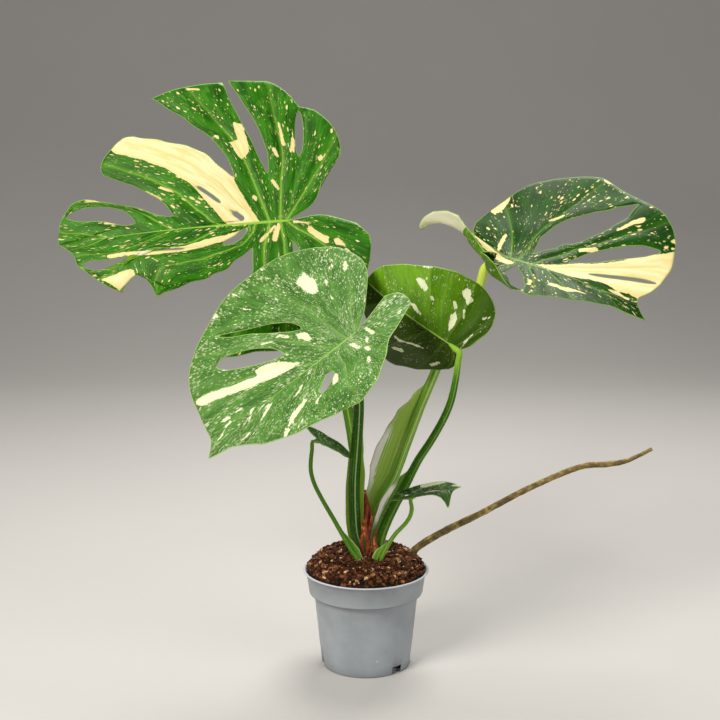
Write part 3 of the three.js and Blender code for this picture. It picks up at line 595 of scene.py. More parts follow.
def leafPiece(name, pieceName, plan, materials, seed):
    bm = bmesh.new()
    vertPlace = {}
    places = bm.loops.layers.uv.new("veinPlace")
    fingers = bm.loops.layers.uv.new("fingerPlace")
    spans, cream, rim, lift, thick, halves = (
        bm.verts.layers.float.new(label)
        for label in ("fingerSpan", "creamField", "rim", "lift", "thick", "half"))
    tip = (plan["roots"][-1], 0)
    rows = rowPlaces(plan)
    columns = leafBuild["columns"]
    for half, side in ((halfNames["left"], plan["left"]), (halfNames["right"], plan["right"])):
        lines = [[(root, 0)] + line for root, line in zip(plan["roots"], side["lines"])] + [[tip, tip]]
        across = 0 if half > 0 else leafBuild["rightStart"]
        for finger in range(len(side["lines"])):
            near, far = ([gapEdge(lines[line], side["openings"].get(line, []), turn, t) for t in rows]
                         for line, turn in ((finger, half), (finger + 1, -half)))
            margin = [near[-1]] + side["margins"][finger] + [far[-1]]
            outer = [splineAt(margin, a) for a in columns]
            closest = min(range(len(rows)), key=lambda i: abs(rows[i] - 0.7))
            width = math.dist(near[closest], far[closest])
            reach = [chainLength(lines[finger]), chainLength(lines[finger + 1])]
            grid = bmesh.ops.create_grid(bm, x_segments=len(columns) - 1, y_segments=len(rows) - 1,
                                         size=1)
            for vert in grid["verts"]:
                column = round((vert.co.x + 1) / 2 * (len(columns) - 1))
                row = round((vert.co.y + 1) / 2 * (len(rows) - 1))
                a, t = columns[column], rows[row]
                bulge = t**leafBuild["bulge"]
                flat = [(1 - a) * near[row][k] + a * far[row][k]
                        + bulge * (outer[column][k] - (1 - a) * near[-1][k] - a * far[-1][k])
                        for k in (0, 1)]
                vert.co = (flat[0], flat[1], 0)
                span = math.dist(near[row], far[row])
                vert[spans] = span
                vert[halves] = half
                fromVein = abs(a - 0.5) * span
                quilt = (1 - math.cos(4 * math.pi * a)) / 2 * min(1, t * 5)
                quilt = quilt * (1 - 0.4 * t) * min(1, span / 30)
                dip = math.exp(-(fromVein / leafBuild["grooveWidth"])**2) * min(1, t * 8) * (1 - 0.6 * t)
                vert[lift] = leafBuild["camber"] * quilt - leafBuild["groove"] * dip
                fromMidrib = abs(flat[1]) if t < 0.3 else math.inf
                taper = max(0, 1 - flat[0] / tip[0]) * min(max(flat[0] / 12, 0), 1)
                keel = plan["keel"] * taper * math.exp(-(fromMidrib / leafBuild["keelWidth"])**2)
                vert[thick] = leafBuild["thickness"] + leafBuild["veinBoost"] * dip + keel
                vert[cream] = creamField(plan, flat[0], flat[1])
                vertPlace[vert] = (across + a * width, t * (reach[0] + (reach[1] - reach[0]) * a), a, t)
            newFaces = {face for vert in grid["verts"] for face in vert.link_faces}
            for face in newFaces:
                for loop in face.loops:
                    u, v, a, t = vertPlace[loop.vert]
                    loop[places].uv = (u * 0.01, v * 0.01)
                    loop[fingers].uv = (a, t)
            if half < 0:
                bmesh.ops.reverse_faces(bm, faces=list(newFaces))
            across += width
            vertPlace.clear()
    bmesh.ops.remove_doubles(bm, verts=bm.verts, dist=0.02)
    bmesh.ops.dissolve_degenerate(bm, edges=bm.edges, dist=0.01)
    edgePoints = []
    for edge in bm.edges:
        if edge.is_boundary:
            start, end = (vert.co for vert in edge.verts)
            parts = max(1, round((end - start).length / leafBuild["rimWidth"]))
            edgePoints += [start.lerp(end, (part + 0.5) / parts) for part in range(parts)]
    nearest = kdtree.KDTree(len(edgePoints))
    for index, point in enumerate(edgePoints):
        nearest.insert(point, index)
    nearest.balance()
    for vert in bm.verts:
        vert[rim] = 0 if vert.is_boundary else nearest.find(vert.co)[2]
        full = min(vert[rim] / leafBuild["rimWidth"], 1)
        vert[thick] = leafBuild["rimThickness"] + (vert[thick] - leafBuild["rimThickness"]) * full
    # Relief, bends and place
    matrix = Matrix.Scale(mm, 4) @ leafMatrix(plan)
    raised = leafBuild["thickness"] / 2
    size = min(1, tip[0] / 100)
    for vert in bm.verts:
        x, y, _ = vert.co
        wave = noise.noise(Vector((x * leafBuild["waveScale"], y * leafBuild["waveScale"], seed))) * 1.6
        wave = wave * min(1, abs(y) / 30) * plan.get("calm", 1)
        point = (x, y, raised + (vert[lift] + leafBuild["wave"] * wave) * size)
        for bend in plan["bends"]:
            if len(bend) < 6 or halfNames[bend[5]] == round(vert[halves]):
                point = bendPoint(point, bend)
        vert.co = withinBox(matrix @ Vector(point))
    thickest = leafBuild["thickness"] + leafBuild["veinBoost"] + plan["keel"]
    piece = finishPiece(bm, pieceName, materials, [name])
    group = piece.vertex_groups.new(name="thickness")
    for index, value in enumerate(piece.data.attributes["thick"].data):
        group.add([index], min(value.value / thickest, 1), "REPLACE")
    solid = piece.modifiers.new("thickness", "SOLIDIFY")
    solid.thickness = thickest * mm
    solid.offset = -1
    solid.vertex_group = "thickness"
    solid.material_offset = 1
    solid.material_offset_rim = 2
    return piece


variegation, given, result = newGroup("variegation", [
    ("Place", "Vector", None), ("Cream field", "Float", farOutside), ("Flecks", "Float", 0.5),
    ("Dust", "Float", 0.5), ("Seed", "Float", 0.0), ("Fineness", "Float", 1.0),
    ("Ragged", "Float", 1.0)],
    [("Cream", "Float"), ("Dust", "Float"), ("Pale", "Float")])
tree = variegation
shifted = put(tree, "CombineXYZ", {2: given["Seed"]}).outputs[0]
onLeaf = put(tree, "VectorMath", {0: given["Place"], 1: shifted}, operation="ADD").outputs[0]
drawn = stretch(tree, onLeaf, (1, 0.42, 1))
raggedWide = less(tree, grain(tree, drawn, 0.22, 2), 0.5)
raggedFine = less(tree, grain(tree, drawn, 0.8, 4, 0.7), 0.5)
ragged = plus(tree, times(tree, raggedWide, 6), times(tree, raggedFine, 5))
ragged = times(tree, ragged, given["Ragged"])
patches = step(tree, plus(tree, given["Cream field"], ragged), -0.1, 0.25)
onFine = put(tree, "VectorMath", {0: onLeaf, 3: given["Fineness"]}, operation="SCALE").outputs[0]


def splashes(cell, length, reach, amount, ragScale, ragDepth):
    # Scattered splashes along the veins: one in each cell, of a size that changes from cell to cell
    spread = stretch(tree, onFine, (1 / cell, 1 / (cell * length), 1))
    jag = times(tree, less(tree, grain(tree, spread, ragScale, 3, 0.7), 0.5), ragDepth)
    cells = put(tree, "TexVoronoi", {"Vector": spread, "Scale": 1.0, "Randomness": 1.0})
    chance = put(tree, "SeparateColor", {0: cells.outputs["Color"]}).outputs[0]
    crowd = times(tree, less(tree, grain(tree, onLeaf, 0.04, 2), 0.5), 1.2)
    size = less(tree, plus(tree, chance, crowd), less(tree, 1.0, amount))
    size = times(tree, size, reach)
    return step(tree, less(tree, plus(tree, size, jag), cells.outputs["Distance"]), 0.0, 0.08)


large = splashes(9.0, 3.0, 0.42, times(tree, given["Flecks"], 0.32), 4.0, 0.35)
flecks = splashes(3.0, 2.6, 0.42, given["Flecks"], 2.5, 0.22)
tree.links.new(calc(tree, "MAXIMUM", patches, calc(tree, "MAXIMUM", large, flecks)), result["Cream"])
tree.links.new(splashes(1.5, 2.2, 0.6, given["Dust"], 2.0, 0.2), result["Dust"])
pale = splashes(2.6, 2.8, 0.8, plus(tree, given["Dust"], 0.1), 2.5, 0.6)
tree.links.new(pale, result["Pale"])

veining, given, result = newGroup("veining", [
    ("Finger place", "Vector", None), ("Span", "Float", 40.0), ("Place", "Vector", None),
    ("Width", "Float", 0.6)], [("Vein", "Float"), ("Ribs", "Float")])
parts = put(veining, "SeparateXYZ", {0: given["Finger place"]}).outputs
offVein = calc(veining, "ABSOLUTE", less(veining, parts[0], 0.5))
offVein = times(veining, offVein, given["Span"])
narrow = times(veining, given["Width"], less(veining, 1.3, parts[1]))
vein = less(veining, 1.0, step(veining, calc(veining, "DIVIDE", offVein, narrow), 0.35, 1.3))
veining.links.new(vein, result["Vein"])
ribs = grain(veining, stretch(veining, given["Place"], (1, 0.06, 1)), 0.75, 2, 0.5)
veining.links.new(ribs, result["Ribs"])


def leafMaterial(name, look, face):
    material, tree, surface = newMaterial(name)
    place = put(tree, "UVMap", uv_map="veinPlace").outputs[0]
    onLeaf = stretch(tree, place, (100, 100, 1))
    fingerPlace = put(tree, "UVMap", uv_map="fingerPlace").outputs[0]
    spotted = put(tree, "Group", {
        "Place": onLeaf, "Cream field": attribute(tree, "creamField"), "Flecks": look["flecks"],
        "Dust": look["dust"], "Seed": look["seed"], "Fineness": look["fineness"],
        "Ragged": look["ragged"]}, node_tree=variegation).outputs
    veined = put(tree, "Group", {
        "Finger place": fingerPlace, "Span": attribute(tree, "fingerSpan"), "Place": onLeaf,
        "Width": look["veinWidth"]}, node_tree=veining).outputs
    along = put(tree, "SeparateXYZ", {0: fingerPlace}).outputs[1]
    mottled = grain(tree, stretch(tree, onLeaf, (1, 0.35, 1)), 0.09, 4, 0.6)
    green = blend(tree, step(tree, mottled, 0.35, 0.65), look[face]["deep"], look[face]["green"])
    green = blend(tree, times(tree, spotted["Pale"], look["halo"]), green, look[face]["pale"])
    ribbed = times(tree, step(tree, veined["Ribs"], 0.45, 0.75), look["ribTone"])
    green = blend(tree, ribbed, green, look[face]["pale"])
    streaked = grain(tree, stretch(tree, onLeaf, (1, 0.15, 1)), 0.22, 3)
    creamTone = step(tree, streaked, 0.35, 0.72)
    creamTone = blend(tree, creamTone, look[face]["cream"], look[face]["creamShade"])
    fringe = times(tree, step(tree, attribute(tree, "creamField"), 7.0, 0.0), 0.55)
    creamTone = blend(tree, fringe, creamTone, look[face]["creamShade"])
    across = put(tree, "SeparateXYZ", {0: onLeaf}).outputs[0]
    # Painted shade: each shaded entry darkens the green towards its shade tone over a span across or along the
    # fingers
    for place, low, high, amount, shade in look[face]["shaded"]:
        paintedShadeMask = step(tree, across if place == "across" else along, low, high)
        green = blend(tree, times(tree, paintedShadeMask, amount), green, shade)
    coloured = blend(tree, times(tree, spotted["Dust"], look["dustTone"]), green, creamTone)
    coloured = blend(tree, spotted["Cream"], coloured, creamTone)
    midrib = less(tree, 1.0, step(tree, along, 0.004, 0.016))
    offVein = less(tree, put(tree, "SeparateXYZ", {0: fingerPlace}).outputs[0], 0.5)
    offVein = calc(tree, "ABSOLUTE", offVein)
    glowBand = step(tree, times(tree, offVein, attribute(tree, "fingerSpan")), 4.5, 0.0)
    veinColour = blend(tree, times(tree, spotted["Cream"], 0.75), look[face]["vein"],
                       look[face]["creamShade"])
    veinTone = look["veinTone"] * look[face]["lines"]
    coloured = blend(tree, times(tree, glowBand, 0.3 * veinTone), coloured, veinColour)
    fading = times(tree, veined["Vein"], step(tree, along, 1.0, 0.3, 0.35 * veinTone, veinTone))
    coloured = blend(tree, fading, coloured, veinColour)
    coloured = blend(tree, midrib, coloured, look[face]["vein"])
    edge = step(tree, attribute(tree, "rim"), look["rimLine"], 0.25)
    coloured = blend(tree, times(tree, edge, 0.85), coloured, look["rim"])
    fine = grain(tree, onLeaf, 2.2, 2)
    height = plus(tree, times(tree, veined["Ribs"], 0.7), times(tree, fine, 0.3))
    bump = bumped(tree, height, look[face]["bump"], 0.0006)
    rough = plus(tree, look[face]["roughness"], times(tree, mottled, 0.16))
    shader = put(tree, "BsdfPrincipled", {"Base Color": coloured, "Roughness": rough, "Normal": bump})
    shader.inputs["Specular IOR Level"].default_value = look[face]["gloss"]
    shader.inputs["Specular Tint"].default_value = (0.78, 1.0, 0.5, 1)
    glow = put(tree, "BsdfTranslucent", {"Color": coloured, "Normal": bump})
    mixed = put(tree, "MixShader", {0: look["through"], 1: shader.outputs[0], 2: glow.outputs[0]})
    tree.links.new(mixed.outputs[0], surface)
    return material


def leafLook(upper, under, **changes):
    look = {"flecks": 0.5, "dust": 0.5, "dustTone": 0.55, "fineness": 1.0, "halo": 0.3, "veinWidth": 1.0,
            "veinTone": 0.6, "ribTone": 0.3, "ragged": 0.6, "through": 0.25, "seed": 0.0,
            "rim": rgb(150, 190, 90), "rimLine": 0.9, "upper": upper, "under": under}
    look.update(changes)
    return look


def leafTones(deep, green, pale, cream, creamShade, vein, **changes):
    made = {"deep": rgb(*deep), "green": rgb(*green), "pale": rgb(*pale), "cream": rgb(*cream),
            "creamShade": rgb(*creamShade), "vein": rgb(*vein), "roughness": 0.36, "gloss": 0.24,
            "bump": 0.35, "lines": 1.0, "shaded": []}
    made.update(changes)
    return made


# Deep green, green, pale green, cream, shaded cream and vein, as leafTones takes them
backColours = ((74, 124, 2), (104, 156, 6), (150, 190, 52), (236, 236, 212), (216, 220, 176),
               (164, 200, 76))
backTones = leafTones(*backColours, roughness=0.42, lines=0.5)
# Painted shade on leaf 3, across its fingers in millimetres and along them as shares: the stalk end, the
# midrib's surroundings and the right half, which starts at 400, are painted darker where the fold is in shadow
foldedBack = leafTones(*backColours, roughness=0.42, lines=0.12,
                       shaded=[("along", 0.75, 0.05, 0.5, rgb(52, 92, 2)),
                               ("across", 84, 22, 0.85, rgb(42, 70, 2)),
                               ("across", 399, 400, 0.9, rgb(44, 62, 2))])
leafLooks = {
    "blade_1": leafLook(
        leafTones((18, 80, 2), (46, 122, 6), (104, 168, 44), (248, 236, 188), (236, 212, 140),
                  (150, 198, 70)),
        backTones, flecks=0.82, dust=0.6, ragged=0.35, seed=3.0),
    "blade_2": leafLook(
        leafTones((56, 102, 34), (82, 134, 50), (130, 174, 92), (240, 240, 210), (228, 230, 190),
                  (146, 184, 92), roughness=0.4),
        backTones, flecks=0.68, dust=0.9, fineness=1.2, dustTone=0.5, veinTone=0.3, ragged=0.9,
        rim=rgb(178, 206, 112), seed=17.0),
    "blade_3": leafLook(
        leafTones((30, 80, 10), (52, 108, 20), (98, 148, 50), (238, 238, 208), (226, 226, 186),
                  (130, 170, 70)),
        foldedBack, flecks=0.45, dust=0.55, fineness=1.3, halo=0.15, seed=31.0),
    "blade_4": leafLook(
        leafTones((10, 52, 2), (22, 78, 4), (74, 126, 40), (250, 236, 184), (240, 216, 146),
                  (116, 166, 56), gloss=0.13, roughness=0.3),
        backTones, flecks=0.84, dust=0.6, halo=0.18, ribTone=0.18, veinTone=0.45, seed=47.0),
    "blade_5": leafLook(
        leafTones((26, 74, 14), (44, 98, 22), (92, 140, 50), (232, 235, 196), (218, 222, 178),
                  (110, 156, 60)),
        backTones, flecks=0.3, dust=0.8, fineness=1.4, seed=59.0),
    "blade_6": leafLook(
        leafTones((38, 76, 30), (56, 96, 42), (100, 140, 74), (236, 238, 206), (222, 226, 188),
                  (125, 164, 78)),
        backTones, flecks=0.5, dust=0.8, fineness=1.2, seed=71.0),
}

for number, (name, plan) in enumerate(leaves.items(), 1):
    print("leaf", number)
    look = leafLooks[name]
    materials = [leafMaterial("leaf_%d_upper" % number, look, "upper"),
                 leafMaterial("leaf_%d_under" % number, look, "under")]
    materials.append(materials[0])
    leafPiece(name, "leaf_%d" % number, plan, materials, number * 7.3)


# Stalks
stalks = {
    "petiole_1": {
        "blade": "blade_1", "radii": [4.8, 4.4, 4.2, 4], "fins": {"right": (0.12, 0.5, [2, 3, 3, 2])},
        "points": [(-9, 8, 82), (-9, 8, 110), (-8, 9, 140), (-9, 10, 180), (-12, 12, 206),
                   (-15, 15, 226), (-19, 18, 248), (-29, 28, 310), (-46, 42, 368)],
    },
    "petiole_2": {
        "blade": "blade_2", "radii": [5, 5, 4.7, 4],
        "fins": {"left": (0.06, 0.62, [3, 3.5, 3, 2, 1]), "right": (0.06, 0.58, [2, 3, 4, 5, 2])},
        "points": [(-2, -13, 82), (-2, -13, 110), (-9, -14, 132), (-11, -16, 159), (-11, -20, 187),
                   (-9, -26, 217), (-7, -36, 256), (-8, -48, 298)],
    },
    "petiole_3": {
        "blade": "blade_4", "radii": [4.9, 4.8, 4.4, 4],
        "fins": {"left": (0.12, 0.55, [4, 12, 21, 22, 19, 15, 7])},
        "points": [(9, -4, 82), (9, -4, 110), (9, -3, 142), (17, 3, 166), (26, 7, 180), (32, 11, 194),
                   (39, 17, 212), (52, 28, 244), (64, 38, 270), (75, 43, 294), (93, 46, 326),
                   (109, 42, 360), (115, 38, 379)],
    },
    "petiole_4": {
        "blade": "blade_3", "radii": [4.6, 4.2, 3.4, 2.6],
        "fins": {"left": (0.06, 0.46, [6, 5.5, 7, 8.5, 10, 8.5, 5.5])},
        "points": [(13, -14, 82), (13, -14, 112), (14, -14, 126), (19, -14, 141), (27, -15, 159),
                   (35, -16, 175), (48, -17, 202), (61, -18, 223), (72, -20, 244), (78, -21, 260),
                   (82, -22, 280), (84, -22, 295)],
    },
    "petiole_5": {
        "blade": "blade_5", "radii": [2.4, 2, 1.8, 1.6], "fins": {"right": (0.12, 0.36, [3, 5, 4, 2])},
        "points": [(-8, -28, 84), (-8, -28, 110), (-13, -28, 118), (-30, -28, 149), (-41, -29, 169),
                   (-48, -30, 184), (-51, -31, 196), (-51, -31, 206), (-50, -29, 215)],
    },
    "petiole_6": {
        "blade": "blade_6", "radii": [2.4, 2, 1.8, 1.6], "fins": {"left": (0.15, 0.42, [5, 7, 6, 3])},
        "points": [(14, -27, 84), (14, -27, 110), (19, -28, 122), (27, -31, 136), (37, -34, 148),
                   (41, -36, 156), (42, -36, 163)],
    },
    "cataphyll": {
        "radii": [5, 6.5, 5, 1], "flatness": 0.14, "fins": {},
        "points": [(1, -9, 92), (2, -9, 122), (1, -8, 146), (-1, -7, 172)],
    },
    "aerial_root": {
        "radii": [3.6, 3.4, 3, 2.8, 2.8, 1.8], "fins": {},
        "points": [(36, 2, 88), (41, 2, 101), (47, 4, 110), (54, 6, 115), (75, 11, 126), (113, 18, 143),
                   (154, 22, 164), (196, 26, 182), (213, 27, 187), (231, 28, 188), (248, 29, 190),
                   (262, 30, 195), (277, 30, 203)],
    },
}


def smoothRoute(points, parts=24):
    # A smooth curve through all the points, as samples (length so far, place)
    stops = [Vector(point) for point in points]
    stops = [stops[0] * 2 - stops[1]] + stops + [stops[-1] * 2 - stops[-2]]
    samples = []
    for i in range(1, len(stops) - 2):
        p0, p1, p2, p3 = stops[i - 1:i + 3]
        d0, d1, d2 = (math.sqrt((b - a).length) for a, b in ((p0, p1), (p1, p2), (p2, p3)))
        t1 = ((p1 - p0) / d0 - (p2 - p0) / (d0 + d1) + (p2 - p1) / d1) * d1
        t2 = ((p2 - p1) / d1 - (p3 - p1) / (d1 + d2) + (p3 - p2) / d2) * d1
        for k in range(parts + (i == len(stops) - 3)):
            u = k / parts
            at = (p1 + t1 * u + (p2 * 3 - p1 * 3 - t1 * 2 - t2) * u**2
                  + (p1 * 2 - p2 * 2 + t1 + t2) * u**3)
            length = samples[-1][0] + (at - samples[-1][1]).length if samples else 0
            samples.append((length, at))
    return samples


def routeAt(samples, t):
    length = t * samples[-1][0]
    i = 1
    while i < len(samples) - 1 and samples[i][0] < length:
        i += 1
    (low, before), (high, after) = samples[i - 1], samples[i]
    return before.lerp(after, (length - low) / (high - low))


def stalkPiece(name, plan, material, seed=0, shapeAt=None, spacing=2.5, sides=28):
    points = list(plan["points"])
    if "blade" in plan:  # the stalk runs under its leaf's midrib for the last few millimetres
        depth = plan["radii"][-1] + 1
        matrix = leafMatrix(leaves[plan["blade"]])
        points += [tuple(matrix @ Vector((x * depth, 0, z * depth)))
                   for x, z in ((-0.5, -1.6), (0.9, -1), (3, -0.4))]
    samples = smoothRoute(points)
    length = samples[-1][0]
    stations = max(12, int(length / spacing))
    wing = 9
    ring = []  # (kind, value): body points by angle, wing points by their share of the width
    for k in range(sides):
        angle = 360 * k / sides
        for side, centre in (("left", 0), ("right", 180)):
            if side in plan["fins"] and k == round(centre / 360 * sides):
                turn = 1 if side == "left" else -1
                ring += [(side, i / (wing - 1), -turn) for i in range(wing)]
                ring += [(side, 1 - i / (wing - 1), turn) for i in range(wing)]
                break
        else:
            ring.append(("body", angle, 0))
    bm = bmesh.new()
    uv = bm.loops.layers.uv.new("stalkPlace")
    part = bm.verts.layers.float.new("wing")
    lengths = bm.verts.layers.float.new("upward")
    grid = bmesh.ops.create_grid(bm, x_segments=len(ring), y_segments=stations, size=1)
    where = {}
    for vert in grid["verts"]:
        column = round((vert.co.x + 1) / 2 * len(ring))
        station = round((vert.co.y + 1) / 2 * stations)
        t = station / stations
        centre = routeAt(samples, t)
        along = (routeAt(samples, min(t + 0.004, 1)) - routeAt(samples, max(t - 0.004, 0))).normalized()
        across = Vector((0, -1, 0)).cross(along).normalized()
        ahead = along.cross(across)
        radius = profileAt(plan["radii"], t)
        if "blade" in plan:
            radius *= 1 - 0.6 * max(0, 1 - (1 - t) * length / (depth * 2.2))
        kind, value, turn = ring[column % len(ring)]
        if kind == "body":
            angle = math.radians(value)
            grow = 1 + (shapeAt(angle, t * length) if shapeAt else 0)
            u = radius * grow * math.cos(angle)
            v = radius * grow * plan.get("flatness", 1) * math.sin(angle)
        else:
            start, end, widths = plan["fins"][kind]
            width = 0.3
            if start < t < end:
                width = profileAt([0.3] + widths + [0.3], (t - start) / (end - start))
            side = 1 if kind == "left" else -1
            reach = radius * 0.93 + (width + radius * 0.07) * value
            slim = 1.5 * (1 - value) + 0.35
            lean = 0.1 * width * value**2
            ripple = 0.25 * math.sin(t * length * 0.16 + seed) * value**2 * min(width / 6, 1)
            u, v = side * reach, turn * slim / 2 + (lean + ripple)
        vert.co = (centre + across * u + ahead * v) * mm
        vert[part] = value if kind != "body" else 0
        vert[lengths] = t
        if kind == "body":
            turned = 1 if column == len(ring) else value / 360
        else:
            outward = value * width / (math.tau * radius)
            turned = {("left", -1): 1 + outward, ("left", 1): -outward,
                      ("right", 1): 0.5 - outward, ("right", -1): 0.5 + outward}[kind, turn]
        where[vert] = (turned, t * length)
    for face in bm.faces:
        for loop in face.loops:
            u, v = where[loop.vert]
            loop[uv].uv = (u, v * 0.01)
    bmesh.ops.remove_doubles(bm, verts=bm.verts, dist=1e-6)
    bmesh.ops.holes_fill(bm, edges=[edge for edge in bm.edges if edge.is_boundary], sides=0)
    bmesh.ops.recalc_face_normals(bm, faces=bm.faces)
    return finishPiece(bm, name + "_shape", [material], [name] if name in stalks else [])


def stalkMaterial(name, look):
    material, tree, surface = newMaterial(name)
    place = put(tree, "UVMap", uv_map="stalkPlace").outputs[0]
    parts = put(tree, "SeparateXYZ", {0: place}).outputs
    stripes = stretch(tree, place, (look["stripes"], 1.2, 1), (look["seed"], 0, 0))
    stripes = grain(tree, stripes, 1.0, 3, 0.55)
    speckle = stretch(tree, place, (look["stripes"] * 1.6, 22, 1), (0, look["seed"], 0))
    speckle = grain(tree, speckle, 1.0, 3, 0.6)
    green = blend(tree, step(tree, stripes, 0.4, 0.62), look["deep"], look["green"])
    upward = attribute(tree, "upward")
    green = blend(tree, step(tree, upward, look["paleTo"], 0.0), green, look["foot"])
    green = blend(tree, step(tree, upward, look["topFrom"], look["topFrom"] + 0.12), green, look["top"])
    green = blend(tree, step(tree, stripes, 0.62, 0.70), green, look["stripe"])
    green = blend(tree, times(tree, step(tree, speckle, 0.64, 0.68), 0.8), green, look["cream"])
    offLine = calc(tree, "ABSOLUTE", less(tree, parts[0], look["lineAt"]))
    green = blend(tree, step(tree, offLine, 0.026, 0.012), green, look["line"])
    wing = attribute(tree, "wing")
    green = blend(tree, times(tree, step(tree, wing, 0.0, 0.3), look["wingShare"]), green, look["wing"])
    edge = step(tree, wing, 0.7, 1.0)
    green = blend(tree, times(tree, edge, 0.75), green, look["wingEdge"])
    low, high = look["creamSpan"]
    creamed = times(tree, step(tree, upward, low - 0.05, low), step(tree, upward, high + 0.05, high))
    reach = plus(tree, wing, times(tree, less(tree, stripes, 0.5), 0.9))
    edged = step(tree, reach, look["creamFrom"], look["creamFrom"] + 0.08)
    green = blend(tree, times(tree, creamed, edged), green, look["creamEdge"])
    height = plus(tree, stripes, times(tree, grain(tree, stretch(tree, place, (90, 3, 1)), 1.0, 2), 0.6))
    bump = bumped(tree, height, 0.35, 0.0006)
    rough = plus(tree, 0.3, times(tree, speckle, 0.2))
    shader = put(tree, "BsdfPrincipled", {"Base Color": green, "Roughness": rough, "Normal": bump})
    shader.inputs["Specular IOR Level"].default_value = 0.26
    shader.inputs["Specular Tint"].default_value = (0.8, 1.0, 0.55, 1)
    glow = put(tree, "BsdfTranslucent", {"Color": green})
    mixed = put(tree, "MixShader", {0: 0.12, 1: shader.outputs[0], 2: glow.outputs[0]})
    tree.links.new(mixed.outputs[0], surface)
    return material


stalkTones = {
    "petiole_1": {"deep": rgb(66, 130, 14), "green": rgb(112, 166, 36), "stripe": rgb(176, 208, 96),
                  "line": rgb(190, 214, 120)},
    "petiole_2": {"deep": rgb(22, 74, 2), "green": rgb(40, 100, 6), "stripe": rgb(96, 144, 44),
                  "line": rgb(170, 186, 120), "wing": rgb(128, 168, 44), "wingShare": 0.85,
                  "wingEdge": rgb(176, 176, 84), "creamSpan": (0.02, 0.14)},
    "petiole_3": {"deep": rgb(104, 160, 46), "green": rgb(164, 204, 84), "stripe": rgb(214, 230, 150),
                  "line": rgb(206, 224, 140), "wing": rgb(190, 218, 96), "wingShare": 0.6,
                  "creamSpan": (0.25, 0.37), "creamFrom": 0.62, "top": rgb(214, 230, 84), "topFrom": 0.76},
    "petiole_4": {"deep": rgb(36, 88, 6), "green": rgb(78, 132, 22), "stripe": rgb(150, 188, 80),
                  "line": rgb(130, 172, 66), "wing": rgb(130, 176, 66), "wingShare": 0.4,
                  "creamSpan": (0.25, 0.36), "top": rgb(140, 186, 44), "topFrom": 0.82},
    "petiole_5": {"deep": rgb(58, 116, 14), "green": rgb(96, 152, 30), "stripe": rgb(150, 190, 70)},
    "petiole_6": {"deep": rgb(95, 150, 40), "green": rgb(140, 185, 62), "stripe": rgb(185, 210, 115)},
}
# A stalk without a front line or a cream edge has them far outside the range of its own places
noLine, noCream = -9.0, (-9.0, -8.0)
for number, (name, ownLook) in enumerate(stalkTones.items(), 1):
    print("stalk", number)
    look = {"foot": rgb(172, 198, 104), "paleTo": 0.22, "cream": rgb(225, 226, 180), "stripes": 26,
            "lineAt": 0.28 if "line" in ownLook else noLine, "line": ownLook["stripe"],
            "wing": ownLook["green"], "wingShare": 0.0, "creamSpan": noCream, "creamFrom": 0.5,
            "creamEdge": rgb(252, 248, 236), "top": rgb(150, 196, 50), "topFrom": 0.84,
            "wingEdge": rgb(205, 215, 160), "seed": number * 3.7}
    look.update(ownLook)
    stalkPiece(name, stalks[name], stalkMaterial(name + "_skin", look), number)


# Papery scale, stem and aerial root
print("scale, stem and root")


def barkMaterial(name, deep, light, tip, scale, bumpDepth):
    material, tree, surface = newMaterial(name)
    place = put(tree, "TexCoord").outputs["Object"]
    rough = grain(tree, place, scale, 6, 0.65)
    flaky = stretch(tree, place, (1, 1, 0.5))
    flakes = put(tree, "TexVoronoi", {"Vector": flaky, "Scale": scale * 1.4}).outputs["Distance"]
    colour = blend(tree, step(tree, rough, 0.35, 0.65), deep, light)
    colour = blend(tree, step(tree, plus(tree, rough, times(tree, flakes, 0.2)), 0.66, 0.8), colour, tip)
    height = plus(tree, rough, times(tree, flakes, 0.5))
    bump = bumped(tree, height, 0.8, bumpDepth)
    shader = put(tree, "BsdfPrincipled", {"Base Color": colour, "Roughness": 0.75, "Normal": bump})
    tree.links.new(shader.outputs[0], surface)
    return material


scaleMaterial = barkMaterial("papery_brown", rgb(92, 30, 6), rgb(168, 74, 22), rgb(222, 146, 72),
                             160, 0.0008)
stemMaterial = barkMaterial("stem_bark", rgb(70, 84, 30), rgb(120, 124, 56), rgb(160, 140, 86),
                            120, 0.0008)
rootMaterial = barkMaterial("root_bark", rgb(84, 62, 26), rgb(140, 120, 58), rgb(176, 152, 90),
                            140, 0.0006)


def rootShape(angle, length):
    place = Vector((math.cos(angle) * 0.9, math.sin(angle) * 0.9, length * 0.12))
    return 0.14 * noise.noise(place) + 0.07 * noise.noise(place * 3.1)


stalkPiece("cataphyll", stalks["cataphyll"], scaleMaterial, 0, None, 1.5, 36)
# Torn shreds curl away from the papery scale
shreds = [
    [(-2, -21, 108), (-4, -22, 122), (-3, -23, 138), (-5, -22, 152)],
    [(3, -20, 108), (4, -22, 120), (2, -23, 134), (5, -22, 146), (4, -20, 158)],
    [(6, -21, 108), (9, -23, 118), (8, -23, 130), (11, -22, 140)],
    [(0, -21, 112), (2, -24, 124), (-1, -24, 140), (1, -21, 160), (-1, -18, 170)],
]
for number, route in enumerate(shreds, 1):
    shred = {"points": route, "radii": [1.2, 2.0, 1.6, 0.3], "flatness": 0.22, "fins": {}}
    stalkPiece("scale_shred_%d" % number, shred, scaleMaterial, number, None, 1.5, 16)
stalkPiece("aerial_root", stalks["aerial_root"], rootMaterial, 0, rootShape, 1.5, 24)

